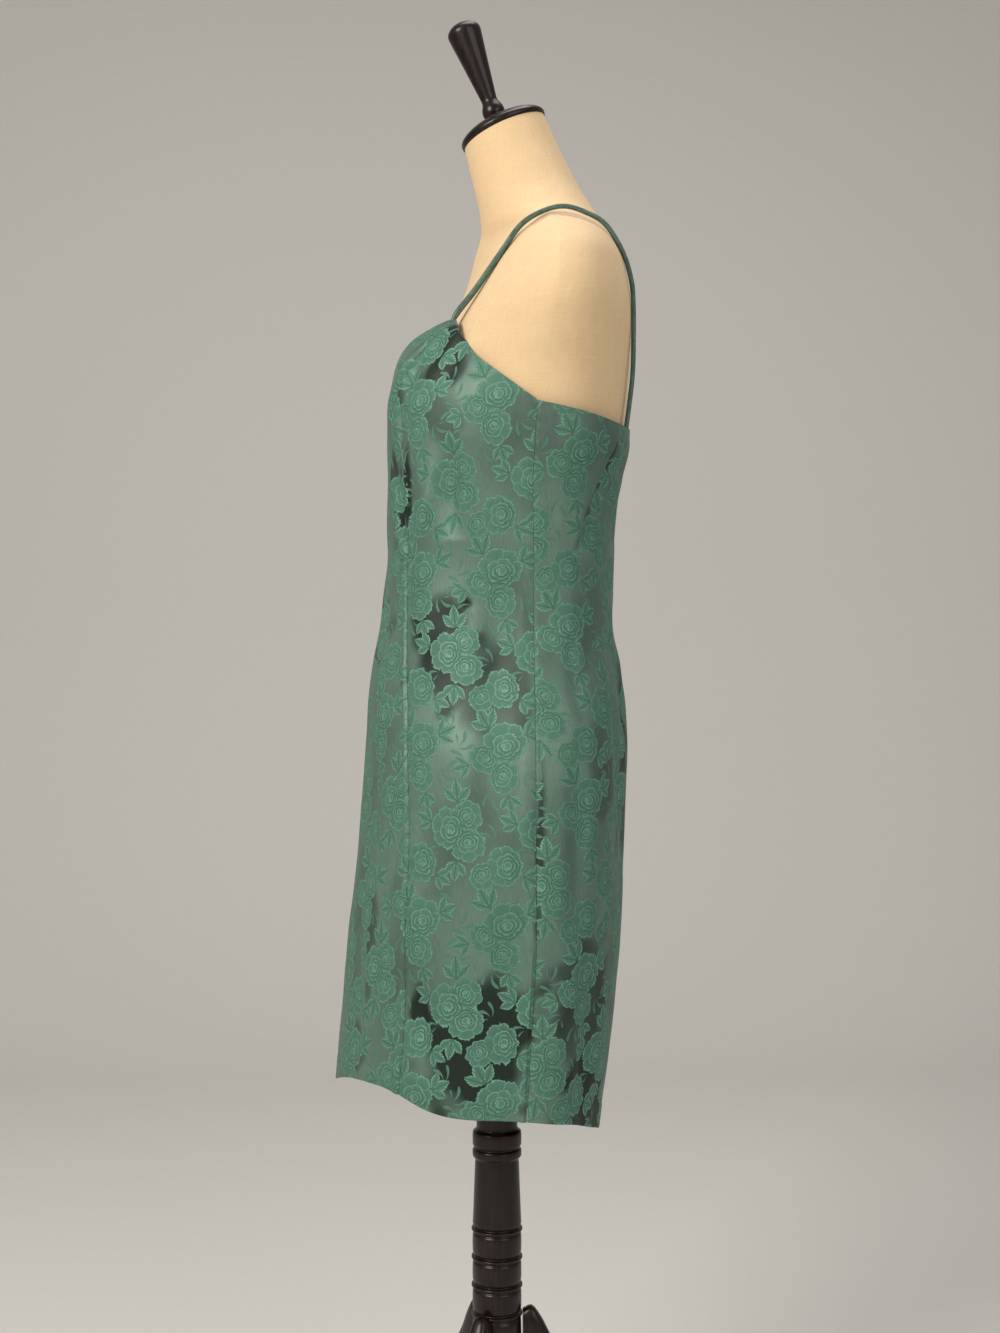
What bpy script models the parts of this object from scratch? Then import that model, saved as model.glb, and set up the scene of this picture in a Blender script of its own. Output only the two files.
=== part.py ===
"""A spaghetti-strap mini dress on a limbless dress form with a turned pole and a tripod.

Metres, +Z up. The front of the dress faces -Y and the wearer's left is +X. Depths in the tables
below are measured from the pole's axis, and heights from the floor.
"""

from math import cos, pi, radians, sin

import bpy
import numpy as np
from mathutils import Matrix, Vector

SEAM_GAP = 0.0003
CLOTH_WALL = 0.0014
SKIRT_ROWS = 28
CENTRE_COLUMNS = 12
SIDE_COLUMNS = 8
BACK_COLUMNS = 12
GIRTH_STEPS = 241
NORMAL_REACH = 0.002
HEM_LEVEL = 0.485

# Upper edge of the dress: the neckline's middle, its corners at the straps, the armhole's foot at
# the side seam, and how far the back edge drops to its middle and dips on the way.
NECK_MIDDLE = 1.180
NECK_CORNER = 1.221
ARMHOLE_FOOT = 1.1355
BACK_DROP = 0.005
BACK_DIP = 0.011

FORM_SEGMENTS = 28
TURNED_SEGMENTS = 20
FORM_BOTTOM = 0.640
NECK_TILT = radians(23)
NECK_TOP = Vector((0, 0.0075, 1.427))
NECK_HALF_WIDTH = 0.045
NECK_HALF_DEPTH = 0.043
FINIAL_SEGMENTS = 16

STRAP_WIDTH = 0.0054
STRAP_DEPTH = 0.0046
STRAP_CORNERS = 8
STRAP_RINGS = 23

POLE_RADIUS = 0.0205
HUB_RADIUS = 0.0245
RING_RADIUS = 0.0255
RING_HEIGHTS = (0.333, 0.305, 0.277, 0.249)
RING_HALF_WIDTH = 0.0012
GROOVE_DEPTH = 0.002
LEG_ANGLES = {"leg_back": 90, "leg_front_left": -30, "leg_front_right": -150}

# The bust is one soft mound a side, shared by the form and the cloth over it.
BUST = dict(x=0.078, z=1.145, reach=0.013, half_width=0.046, half_height=0.052)


def table(columns, *rows):
    """The rows of a table as one array for each named column, lowest height first."""
    ordered = sorted(rows)
    return {name: np.array([row[i] for row in ordered]) for i, name in enumerate(columns.split())}


# Outer surface of the cloth: a section at each height, elliptical where a power is 2 and squarer above.
DRESS = table(
    "height half_width side_y front_y back_y front_power back_power",
    (1.240, 0.144, 0.035, -0.074, 0.1280, 1.40, 2.2),
    (1.221, 0.149, 0.035, -0.087, 0.1280, 1.58, 2.2),
    (1.190, 0.156, 0.035, -0.097, 0.1280, 1.95, 2.2),
    (1.150, 0.161, 0.035, -0.101, 0.1280, 2.20, 2.3),
    (1.110, 0.160, 0.035, -0.103, 0.1310, 2.30, 2.3),
    (1.080, 0.155, 0.034, -0.106, 0.1240, 2.30, 2.3),
    (1.040, 0.148, 0.034, -0.109, 0.1175, 2.30, 2.2),
    (1.000, 0.142, 0.034, -0.109, 0.1155, 2.20, 2.2),
    (0.960, 0.140, 0.034, -0.114, 0.1140, 2.20, 2.2),
    (0.930, 0.142, 0.034, -0.118, 0.1140, 2.20, 2.2),
    (0.895, 0.151, 0.034, -0.124, 0.1205, 2.15, 2.2),
    (0.860, 0.162, 0.034, -0.128, 0.1250, 2.15, 2.2),
    (0.816, 0.174, 0.034, -0.131, 0.1250, 2.10, 2.2),
    (0.755, 0.182, 0.034, -0.135, 0.1225, 2.10, 2.2),
    (0.700, 0.185, 0.034, -0.140, 0.1200, 2.10, 2.2),
    (0.640, 0.186, 0.034, -0.147, 0.1175, 2.10, 2.2),
    (0.560, 0.187, 0.032, -0.154, 0.1105, 2.10, 2.2),
    (0.500, 0.188, 0.029, -0.159, 0.1035, 2.10, 2.2),
    (0.430, 0.188, 0.027, -0.163, 0.0970, 2.10, 2.2),
)

# Depth of each seam line at each height.
SEAMS = table(
    "height princess_y side_y",
    (1.240, -0.030, 0.033),
    (1.221, -0.044, 0.033),
    (1.190, -0.076, 0.033),
    (1.155, -0.091, 0.033),
    (1.110, -0.093, 0.030),
    (1.070, -0.088, 0.028),
    (1.000, -0.088, 0.029),
    (0.900, -0.088, 0.029),
    (0.715, -0.086, 0.029),
    (0.637, -0.089, 0.029),
    (0.570, -0.090, 0.025),
    (0.500, -0.095, 0.021),
    (0.430, -0.099, 0.018),
)

# Lower edge of the skirt: turn is 0 at the centre front, 90 at the side and 180 at the centre back.
HEM = table(
    "turn height",
    (0, 0.484),
    (28, 0.505),
    (45, 0.508),
    (62, 0.495),
    (90, 0.489),
    (118, 0.480),
    (142, 0.465),
    (162, 0.451),
    (180, 0.447),
)

# Folds of the cloth, as ridges (depth above 0) or troughs (below 0) that run from one height to
# another. A share is the place round the half girth: 0 at the centre front, 1 at the centre back.
FOLDS = table(
    "top bottom top_share bottom_share depth width side",
    (0.960, 0.380, 1.000, 1.000, -0.0120, 0.030, 0),
    (0.960, 0.400, 0.890, 0.880, 0.0040, 0.022, 0),
    (1.250, 1.150, 0.400, 0.330, -0.0085, 0.013, 1),
    (1.250, 1.160, 0.390, 0.340, -0.0080, 0.013, -1),
    (1.215, 1.120, 0.150, 0.260, 0.0030, 0.011, 1),
    (1.210, 1.130, 0.160, 0.250, 0.0030, 0.011, -1),
    (1.105, 1.010, 0.340, 0.360, -0.0090, 0.016, 1),
    (1.100, 1.020, 0.345, 0.355, -0.0080, 0.016, -1),
    (1.130, 1.000, 0.930, 0.690, -0.0060, 0.013, 1),
    (1.120, 1.010, 0.920, 0.700, -0.0055, 0.013, -1),
    (0.950, 0.820, 0.830, 0.850, -0.0040, 0.013, 1),
    (0.940, 0.810, 0.840, 0.850, -0.0040, 0.013, -1),
    (0.980, 0.700, 0.470, 0.455, -0.0045, 0.018, 1),
    (0.960, 0.690, 0.465, 0.450, -0.0045, 0.018, -1),
    (0.820, 0.620, 0.625, 0.635, -0.0050, 0.013, 1),
    (0.800, 0.610, 0.625, 0.640, -0.0045, 0.013, -1),
    (0.700, 0.440, 0.780, 0.800, 0.0040, 0.026, 1),
    (0.710, 0.430, 0.770, 0.790, 0.0040, 0.026, -1),
    (0.680, 0.450, 0.500, 0.520, -0.0050, 0.026, 1),
    (0.670, 0.450, 0.500, 0.520, -0.0045, 0.026, -1),
    (0.620, 0.520, 0.340, 0.370, -0.0070, 0.014, 1),
    (0.640, 0.530, 0.340, 0.360, -0.0055, 0.014, -1),
    (0.930, 0.480, 0.130, 0.160, -0.0035, 0.022, 1),
    (0.900, 0.470, 0.140, 0.150, -0.0035, 0.022, -1),
)

# The linen-covered form, from the neck down. The neck's sections lean forward by tilt.
FORM = table(
    "height half_width side_y front_y back_y front_power back_power tilt",
    (1.4270, 0.045, 0.0075, -0.0355, 0.0505, 2.00, 2.0, 23),
    (1.3905, 0.048, 0.0205, -0.0263, 0.0673, 2.00, 2.0, 18),
    (1.3550, 0.059, 0.0345, -0.0180, 0.0870, 2.00, 2.0, 11),
    (1.3370, 0.074, 0.0430, -0.0160, 0.1005, 1.80, 1.9, 6),
    (1.3190, 0.103, 0.0490, -0.0175, 0.1120, 1.25, 2.0, 2),
    (1.3030, 0.140, 0.0515, -0.0215, 0.1190, 1.22, 2.1, 0),
    (1.2850, 0.166, 0.0520, -0.0260, 0.1240, 1.32, 2.2, 0),
    (1.2600, 0.181, 0.0515, -0.0340, 0.1290, 1.50, 2.2, 0),
    (1.2300, 0.185, 0.0490, -0.0500, 0.1310, 1.60, 2.3, 0),
    (1.2000, 0.174, 0.0450, -0.0670, 0.1305, 1.65, 2.3, 0),
    (1.1700, 0.161, 0.0400, -0.0820, 0.1289, 1.75, 2.3, 0),
    (1.1350, 0.154, 0.0360, -0.0890, 0.1254, 2.10, 2.3, 0),
    (1.0900, 0.147, 0.0350, -0.0860, 0.1180, 2.20, 2.3, 0),
    (1.0400, 0.137, 0.0340, -0.0800, 0.1090, 2.20, 2.2, 0),
    (0.9600, 0.124, 0.0340, -0.0730, 0.1040, 2.20, 2.2, 0),
    (0.9000, 0.138, 0.0340, -0.0840, 0.1070, 2.20, 2.2, 0),
    (0.8400, 0.158, 0.0340, -0.0980, 0.1090, 2.20, 2.2, 0),
    (0.7700, 0.172, 0.0340, -0.1060, 0.1060, 2.20, 2.2, 0),
    (0.7100, 0.171, 0.0340, -0.1040, 0.1020, 2.20, 2.2, 0),
    (0.6600, 0.158, 0.0340, -0.0920, 0.0960, 2.20, 2.2, 0),
    (FORM_BOTTOM, 0.136, 0.0340, -0.0720, 0.0840, 2.20, 2.2, 0),
)

# Centre line of the left strap; the right one mirrors it.
STRAP = table(
    "order x y z",
    (1, 0.0992, -0.0441, 1.2225),
    (2, 0.0975, -0.0217, 1.2517),
    (3, 0.0960, 0.0017, 1.2862),
    (4, 0.0975, 0.0192, 1.3104),
    (5, 0.0990, 0.0394, 1.3232),
    (6, 0.1000, 0.0600, 1.3279),
    (7, 0.0990, 0.0807, 1.3225),
    (8, 0.0970, 0.0996, 1.3115),
    (9, 0.0940, 0.1162, 1.2860),
    (10, 0.0900, 0.1247, 1.2602),
    (11, 0.0870, 0.1269, 1.2373),
    (12, 0.0840, 0.1274, 1.2060),
    (13, 0.0815, 0.1269, 1.1748),
    (14, 0.0797, 0.1245, 1.1500),
    (15, 0.0786, 0.1218, 1.1228),
)

# Wooden cap over the neck: rise along the neck's axis, and share of the neck's own width.
CAP_PROFILE = [(SEAM_GAP, 1.02), (0.004, 1.04), (0.008, 0.98), (0.012, 0.80), (0.015, 0.45)]

# Finial on the cap, a bead under a cone that widens upwards: rise and radius.
FINIAL_PROFILE = [
    (0.0153, 0.0120),
    (0.0172, 0.0102),
    (0.0200, 0.0108),
    (0.0232, 0.0114),
    (0.0285, 0.0101),
    (0.0338, 0.0079),
    (0.0450, 0.0091),
    (0.1040, 0.0170),
    (0.1100, 0.0160),
    (0.1150, 0.0110),
    (0.1170, 0.0050),
]

# Turned pole and hub, from the underside of the form down: height and radius.
POLE_PROFILE = [
    (FORM_BOTTOM - SEAM_GAP, POLE_RADIUS),
    (0.4330, POLE_RADIUS),
    (0.4310, HUB_RADIUS),
    (0.4165, HUB_RADIUS),
    (0.4150, 0.0225),
    (0.4120, 0.0245),
    (0.4060, 0.0245),
    (0.4035, 0.0215),
    (0.4000, 0.0220),
]
HUB_PROFILE = [
    (0.1260, HUB_RADIUS),
    (0.1200, 0.0215),
    (0.1150, 0.0225),
    (0.1050, 0.0190),
    (0.0950, 0.0100),
]

# Curved leg, from the hub outwards.
LEG = table(
    "reach middle half_height half_width",
    (RING_RADIUS + SEAM_GAP, 0.196, 0.056, 0.0100),
    (0.035, 0.194, 0.061, 0.0110),
    (0.044, 0.187, 0.057, 0.0115),
    (0.054, 0.178, 0.047, 0.0115),
    (0.078, 0.160, 0.033, 0.0115),
    (0.110, 0.133, 0.026, 0.0115),
    (0.145, 0.099, 0.022, 0.0115),
    (0.180, 0.065, 0.019, 0.0115),
    (0.210, 0.039, 0.018, 0.0120),
    (0.238, 0.0185, 0.019, 0.0135),
    (0.262, 0.013, 0.018, 0.0145),
    (0.278, 0.008, 0.012, 0.0115),
)
LEG_SEGMENTS = 12
LEG_ROUNDNESS = 0.6


def read(rows, key, column, at):
    """A cubic through one column of a table, read at the values of its key column."""
    known = rows[key].astype(float)
    values = rows[column].astype(float)
    slopes = np.gradient(values, known)
    cell = np.clip(np.searchsorted(known, at) - 1, 0, len(known) - 2)
    span = known[cell + 1] - known[cell]
    t = np.clip((at - known[cell]) / span, 0, 1)
    start = (1 + 2 * t) * (1 - t) ** 2 * values[cell] + t * (1 - t) ** 2 * span * slopes[cell]
    end = t * t * (3 - 2 * t) * values[cell + 1] + t * t * (t - 1) * span * slopes[cell + 1]
    return start + end


def bust_depth(x, z):
    """How far the bust carries the front forward at a point."""
    across = (np.abs(x) - BUST["x"]) / BUST["half_width"]
    up = (z - BUST["z"]) / BUST["half_height"]
    return BUST["reach"] * np.exp(-(across**2 + up**2) / 2)


def section(rows, turn, z):
    """x and y of a section at the angle turn from its front, for the wearer's left half."""
    half_width = read(rows, "height", "half_width", z)
    side = read(rows, "height", "side_y", z)
    front = read(rows, "height", "front_y", z)
    back = read(rows, "height", "back_y", z)
    forward = turn < pi / 2
    power = np.where(
        forward, read(rows, "height", "front_power", z), read(rows, "height", "back_power", z)
    )
    x = half_width * np.abs(np.sin(turn)) ** (2 / power)
    depth = np.abs(np.cos(turn)) ** (2 / power)
    y = side + np.where(forward, front - side, back - side) * depth
    return x, y - np.where(forward, bust_depth(x, z) * np.minimum(1, 2 * depth), 0)


def half_girth(z):
    """A fine walk round the dress's left half at one height: turn, x, y and length so far."""
    turn = np.linspace(0, pi, GIRTH_STEPS)
    x, y = section(DRESS, turn, z)
    steps = np.hypot(np.diff(x), np.diff(y))
    return turn, x, y, np.concatenate([[0], np.cumsum(steps)])


def fold_depth(share, girth, z, side):
    """Sum of the folds at a place, each a soft bell across its line that fades at its ends."""
    total = 0.0
    for top, bottom, top_share, bottom_share, depth, width, fold_side in zip(*FOLDS.values()):
        if bottom < z < top and fold_side in (0, side):
            down = (top - z) / (top - bottom)
            line = top_share + (bottom_share - top_share) * down
            across = (share - line) * girth / width
            total += depth * sin(pi * down) * np.exp(-(across**2))
    return total


def wall_points(share, z, side):
    """The cloth's outer and inner points at a share of the half girth from the centre front."""
    _, x, y, length = half_girth(z)
    at = share * length[-1]
    point = Vector((np.interp(at, length, x), np.interp(at, length, y), z))
    ahead = min(at + NORMAL_REACH, length[-1])
    behind = max(at - NORMAL_REACH, 0)
    run_x = np.interp(ahead, length, x) - np.interp(behind, length, x)
    run_y = np.interp(ahead, length, y) - np.interp(behind, length, y)
    outward = Vector((run_y, -run_x, 0)).normalized()
    point += outward * fold_depth(share, length[-1], z, side)
    wall = [point, point - outward * CLOTH_WALL]
    return [Vector((max(p.x, 0) * side, p.y, p.z)) for p in wall]


def seam_share(name, z):
    """Share of the half girth at which a seam lies."""
    if name == "centre_front":
        return 0.0
    if name == "centre_back":
        return 1.0
    _, _, y, length = half_girth(z)
    return np.interp(read(SEAMS, "height", name, z), y, length) / length[-1]


def top_edge(panel, across):
    """Height of the upper edge, across the panel from its front seam (0) to its back seam (1)."""
    if panel == "centre":
        return NECK_MIDDLE + (NECK_CORNER - NECK_MIDDLE) * sin(pi / 2 * across**1.3)
    if panel == "side":
        return ARMHOLE_FOOT + (NECK_CORNER - ARMHOLE_FOOT) * (1 - across**1.25)
    return ARMHOLE_FOOT - BACK_DROP * across - BACK_DIP * sin(pi * across)


def hem_edge(share):
    """Height of the lower edge at a share of the half girth."""
    turn, _, _, length = half_girth(HEM_LEVEL)
    degrees = np.degrees(np.interp(share * length[-1], length, turn))
    return float(read(HEM, "turn", "height", degrees))


def seam_inset(z):
    """Half the seam gap as a share of the half girth."""
    return SEAM_GAP / 2 / half_girth(z)[3][-1]


def half_panel(panel, seams, columns, side, inset):
    """Rows of outer and inner points, from hem to top edge, for the panel between two seams."""
    rows = []
    front, back = seams
    hems = []
    tops = []
    for i in range(columns + 1):
        across = i / columns
        share = seam_share(front, HEM_LEVEL) * (1 - across) + seam_share(back, HEM_LEVEL) * across
        hems.append(hem_edge(share))
        tops.append(top_edge(panel, across))
    for j in range(SKIRT_ROWS + 1):
        row = []
        for i in range(columns + 1):
            across = i / columns
            z = hems[i] + (tops[i] - hems[i]) * j / SKIRT_ROWS
            first = seam_share(front, z) + seam_inset(z) * inset[0]
            last = seam_share(back, z) - seam_inset(z) * inset[1]
            row.append(wall_points(first * (1 - across) + last * across, z, side))
        rows.append(row)
    return rows


def add_material(name, colour, roughness, metallic=0.0):
    """A Principled material of one colour."""
    made = bpy.data.materials.new(name)
    made.use_nodes = True
    shader = made.node_tree.nodes["Principled BSDF"]
    shader.inputs["Base Color"].default_value = (*colour, 1)
    shader.inputs["Roughness"].default_value = roughness
    shader.inputs["Metallic"].default_value = metallic
    return made


def add_object(name, points, faces, made, parent):
    """A smooth-shaded mesh object under the parent empty."""
    mesh = bpy.data.meshes.new(name)
    mesh.from_pydata([tuple(point) for point in points], [], faces)
    mesh.materials.append(made)
    mesh.shade_smooth()
    mesh.set_sharp_from_angle(angle=radians(40))
    made_object = bpy.data.objects.new(name, mesh)
    bpy.context.scene.collection.objects.link(made_object)
    made_object.parent = parent
    return made_object


def cloth_panel(name, rows, made, parent):
    """A closed wall of cloth through a grid of outer and inner points."""
    columns = len(rows[0])
    count = len(rows) * columns
    points = [wall[0] for row in rows for wall in row] + [wall[1] for row in rows for wall in row]
    faces = []
    for j in range(len(rows) - 1):
        for i in range(columns - 1):
            a = j * columns + i
            face = (a, a + 1, a + columns + 1, a + columns)
            faces += [face, tuple(corner + count for corner in reversed(face))]
    last = count - columns
    rim = list(range(columns)) + [columns * (j + 1) - 1 for j in range(1, len(rows))]
    rim += [last + i for i in range(columns - 2, -1, -1)]
    rim += [columns * j for j in range(len(rows) - 2, 0, -1)]
    for a, b in zip(rim, rim[1:] + rim[:1]):
        faces.append((b, a, a + count, b + count))
    return add_object(name, points, faces, made, parent)


def skinned_rings(name, rings, made, parent):
    """A closed body through rings of points, with a flat face on the first and the last."""
    count = len(rings[0])
    points = [point for ring in rings for point in ring]
    faces = [tuple(reversed(range(count)))]
    for j in range(len(rings) - 1):
        for i in range(count):
            a = j * count + i
            b = j * count + (i + 1) % count
            faces.append((a, b, b + count, a + count))
    faces.append(tuple(range(len(points) - count, len(points))))
    return add_object(name, points, faces, made, parent)


def circle(radius, z, segments=TURNED_SEGMENTS):
    """A level ring of points round the Z axis."""
    angles = [2 * pi * i / segments for i in range(segments)]
    return [Vector((radius * cos(a), radius * sin(a), z)) for a in angles]


def build_dress(satin, parent):
    """The five panels, each up to its seams and half the seam gap short of them."""
    left = half_panel("centre", ("centre_front", "princess_y"), CENTRE_COLUMNS // 2, 1, (0, 1))
    right = half_panel("centre", ("centre_front", "princess_y"), CENTRE_COLUMNS // 2, -1, (0, 1))
    whole = [mirrored[:0:-1] + row for mirrored, row in zip(right, left)]
    cloth_panel("centre_front", whole, satin, parent)
    for hand, side in (("left", 1), ("right", -1)):
        for part, seams, columns in (
            ("side", ("princess_y", "side_y"), SIDE_COLUMNS),
            ("back", ("side_y", "centre_back"), BACK_COLUMNS),
        ):
            rows = half_panel(part, seams, columns, side, (1, 1))
            if side < 0:
                rows = [row[::-1] for row in rows]
            cloth_panel({"side": "side_front_", "back": "back_"}[part] + hand, rows, satin, parent)


def build_straps(satin, parent):
    """Each strap is a soft roll along its centre line, standing on the panels' top edges."""
    steps = np.linspace(1, len(STRAP["order"]), STRAP_RINGS)
    for hand, side in (("left", 1), ("right", -1)):
        line = [Vector([float(read(STRAP, "order", c, s)) for c in "xyz"]) for s in steps]
        rings = []
        for i, point in enumerate(line):
            along = (line[min(i + 1, len(line) - 1)] - line[max(i - 1, 0)]).normalized()
            across = Vector((1, 0, 0))
            across = (across - along * across.dot(along)).normalized()
            outward = across.cross(along)
            ring = []
            for k in range(STRAP_CORNERS):
                angle = 2 * pi * k / STRAP_CORNERS
                place = point + across * (STRAP_WIDTH / 2 * cos(angle))
                place += outward * (STRAP_DEPTH / 2 * sin(angle))
                ring.append(Vector((place.x * side, place.y, place.z)))
            rings.append(ring if side < 0 else ring[::-1])
        skinned_rings(f"strap_{hand}", rings, satin, parent)


def build_form(linen, wood, parent):
    """Torso and neck through tilted sections, with the wooden cap and finial on the neck."""
    rings = []
    for z, tilt in zip(FORM["height"], FORM["tilt"]):
        pivot = float(read(FORM, "height", "side_y", z))
        lean = radians(float(tilt))
        ring = []
        for i in range(FORM_SEGMENTS):
            turn = 2 * pi * i / FORM_SEGMENTS
            x, y = section(FORM, np.array(turn if turn <= pi else 2 * pi - turn), z)
            depth = float(y) - pivot
            across = float(x) if turn <= pi else -float(x)
            ring.append(Vector((across, pivot + depth * cos(lean), z + depth * sin(lean))))
        rings.append(ring)
    skinned_rings("form_torso", rings, linen, parent)

    placing = Matrix.Translation(NECK_TOP) @ Matrix.Rotation(NECK_TILT, 4, "X")
    rings = []
    for rise, share in CAP_PROFILE:
        ring = []
        for p in circle(share, rise):
            ring.append(placing @ Vector((p.x * NECK_HALF_WIDTH, p.y * NECK_HALF_DEPTH, p.z)))
        rings.append(ring)
    skinned_rings("neck_cap", rings, wood, parent)

    rings = []
    for rise, radius in FINIAL_PROFILE:
        rings.append([placing @ point for point in circle(radius, rise, FINIAL_SEGMENTS)])
    skinned_rings("finial", rings, wood, parent)


def build_stand(wood, parent):
    """Turned pole with four rings above the hub, and three curved legs with flat soles."""
    profile = list(POLE_PROFILE)
    for height in RING_HEIGHTS:
        for away, radius in ((0.0045, HUB_RADIUS), (0.0025, HUB_RADIUS - GROOVE_DEPTH)):
            profile.append((height + away, radius))
        profile.append((height + RING_HALF_WIDTH, RING_RADIUS))
        profile.append((height - RING_HALF_WIDTH, RING_RADIUS))
        for away, radius in ((0.0025, HUB_RADIUS - GROOVE_DEPTH), (0.0045, HUB_RADIUS)):
            profile.append((height - away, radius))
    profile += HUB_PROFILE
    rings = [circle(radius, z) for z, radius in reversed(profile)]
    skinned_rings("stand_column", rings, wood, parent)

    for name, degrees in LEG_ANGLES.items():
        turning = Matrix.Rotation(radians(degrees), 4, "Z")
        rings = []
        for reach, middle, half_height, half_width in zip(*LEG.values()):
            ring = []
            for k in range(LEG_SEGMENTS):
                angle = 2 * pi * (k + 0.5) / LEG_SEGMENTS
                across = half_width * np.sign(cos(angle)) * abs(cos(angle)) ** LEG_ROUNDNESS
                up = half_height * np.sign(sin(angle)) * abs(sin(angle)) ** LEG_ROUNDNESS
                ring.append(turning @ Vector((reach, across, max(middle + up, 0))))
            rings.append(ring)
        skinned_rings(name, rings, wood, parent)


def clear_scene():
    for old in list(bpy.data.objects):
        bpy.data.objects.remove(old, do_unlink=True)


def centre_on_floor(root):
    """Moves the whole model so that the middle of its bounding box stands on the origin."""
    bpy.context.view_layer.update()
    graph = bpy.context.evaluated_depsgraph_get()
    corners = []
    for piece in root.children:
        shown = piece.evaluated_get(graph)
        corners += [shown.matrix_world @ Vector(corner) for corner in shown.bound_box]
    low = [min(corner[axis] for corner in corners) for axis in range(2)]
    high = [max(corner[axis] for corner in corners) for axis in range(2)]
    root.location = (-(low[0] + high[0]) / 2, -(low[1] + high[1]) / 2, 0)


def main():
    clear_scene()
    root = bpy.data.objects.new("dress_and_form", None)
    bpy.context.scene.collection.objects.link(root)
    satin = add_material("rose jacquard satin", (0.030, 0.150, 0.100), 0.42)
    linen = add_material("linen cover", (0.780, 0.620, 0.400), 0.85)
    wood = add_material("dark stained wood", (0.012, 0.007, 0.005), 0.28)
    build_dress(satin, root)
    build_straps(satin, root)
    build_form(linen, wood, root)
    build_stand(wood, root)
    centre_on_floor(root)


main()
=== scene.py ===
from math import cos, pi, radians, sin

import bpy
import numpy as np
from mathutils import Matrix, Vector


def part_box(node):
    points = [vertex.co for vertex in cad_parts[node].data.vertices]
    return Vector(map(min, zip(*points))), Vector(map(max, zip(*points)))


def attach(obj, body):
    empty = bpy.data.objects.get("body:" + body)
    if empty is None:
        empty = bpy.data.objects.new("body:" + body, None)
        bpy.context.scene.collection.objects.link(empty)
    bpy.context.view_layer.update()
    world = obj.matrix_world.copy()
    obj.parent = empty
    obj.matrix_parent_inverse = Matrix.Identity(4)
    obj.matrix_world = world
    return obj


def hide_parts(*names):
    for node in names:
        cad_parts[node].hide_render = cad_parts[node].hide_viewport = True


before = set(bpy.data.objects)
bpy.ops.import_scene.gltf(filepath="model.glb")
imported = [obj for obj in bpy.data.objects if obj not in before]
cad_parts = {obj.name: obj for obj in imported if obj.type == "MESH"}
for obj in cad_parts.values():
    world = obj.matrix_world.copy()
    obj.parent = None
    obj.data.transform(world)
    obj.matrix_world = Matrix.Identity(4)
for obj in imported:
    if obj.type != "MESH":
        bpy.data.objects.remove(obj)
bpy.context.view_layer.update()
poleLow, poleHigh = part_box("stand_column")
poleY = (poleLow.y + poleHigh.y) / 2
seamGap = 0.0003  # between two panels at a seam, and under the neck's cap
print("frame loaded, pole axis at y", round(poleY, 4))


def tableOf(columns, *rows):
    # rows sorted by their first value, as one array for each named column
    ordered = np.array(sorted(rows), float)
    return {name: ordered[:, i] for i, name in enumerate(columns.split())}


def readTable(rows, key, column, at):
    # cubic Hermite curve through a column, its slopes the central differences of its neighbours
    known = rows[key]
    values = rows[column]
    at = np.asarray(at, float)
    slopes = np.gradient(values, known)
    cell = np.clip(np.searchsorted(known, at) - 1, 0, len(known) - 2)
    span = known[cell + 1] - known[cell]
    t = np.clip((at - known[cell]) / span, 0, 1)
    start = (1 + 2 * t) * (1 - t) ** 2 * values[cell] + t * (1 - t) ** 2 * span * slopes[cell]
    end = t * t * (3 - 2 * t) * values[cell + 1] + t * t * (t - 1) * span * slopes[cell + 1]
    return start + end


def smoothStep(low, high, at):
    # 0 below low, 1 above high, and an S curve between
    t = np.clip((at - low) / (high - low), 0, 1)
    return t * t * (3 - 2 * t)


def clustered(length, fine, count):
    # places from 0 to 1 along a length: the fine distances at both ends, even steps between
    fine = np.array(fine) / length
    middle = np.linspace(fine[-1], 1 - fine[-1], count)[1:-1]
    return np.concatenate([fine, middle, 1 - fine[::-1]])


def softNoise(u, v, size, seed):
    # a sum of six sine waves whose directions and phases come from the seed; about -1 to 1
    turn = np.random.default_rng(seed)
    total = 0
    for _ in range(6):
        angle = turn.uniform(0, 2 * pi)
        wave = 2 * pi / (size * turn.uniform(0.7, 1.5))
        phase = turn.uniform(0, 2 * pi)
        total = total + np.sin(wave * (u * cos(angle) + v * sin(angle)) + phase)
    return total / 3.5


def addPiece(name, points, faces, materials, uv, nodeName=None, faceMaterials=None):
    # one mesh with its place in its vertices, smooth shaded, riding on the root
    mesh = bpy.data.meshes.new(name)
    mesh.from_pydata(points.tolist(), [], faces)
    mesh.update()
    layer = mesh.uv_layers.new(name="clothUv")
    corners = np.zeros(len(mesh.loops), np.int32)
    mesh.loops.foreach_get("vertex_index", corners)
    layer.data.foreach_set("uv", uv[corners].astype(np.float32).ravel())
    for material in materials:
        mesh.materials.append(material)
    if faceMaterials is not None:
        mesh.polygons.foreach_set("material_index", np.array(faceMaterials, np.int32))
    mesh.shade_smooth()
    mesh.set_sharp_from_angle(angle=radians(50))
    piece = bpy.data.objects.new(name, mesh)
    bpy.context.scene.collection.objects.link(piece)
    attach(piece, "root")
    if nodeName:
        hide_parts(nodeName)
    return piece


def tubeMap(across, along):
    # a closed tube's flat map, with one more point for the middle of each end
    flat = np.stack([across, along], -1).reshape(-1, 2)
    return np.concatenate([flat, flat[:1], flat[-1:]])


def gridQuads(rows, columns, wraps=False):
    # quads of a grid whose columns run along the surface and rows go up; outward is column x row
    index = np.arange(rows * columns).reshape(rows, columns)
    nextColumn = np.roll(index, -1, 1)
    if not wraps:
        index, nextColumn = index[:, :-1], nextColumn[:, :-1]
    quads = np.stack([index[:-1], nextColumn[:-1], nextColumn[1:], index[1:]], -1)
    return quads.reshape(-1, 4)


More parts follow.
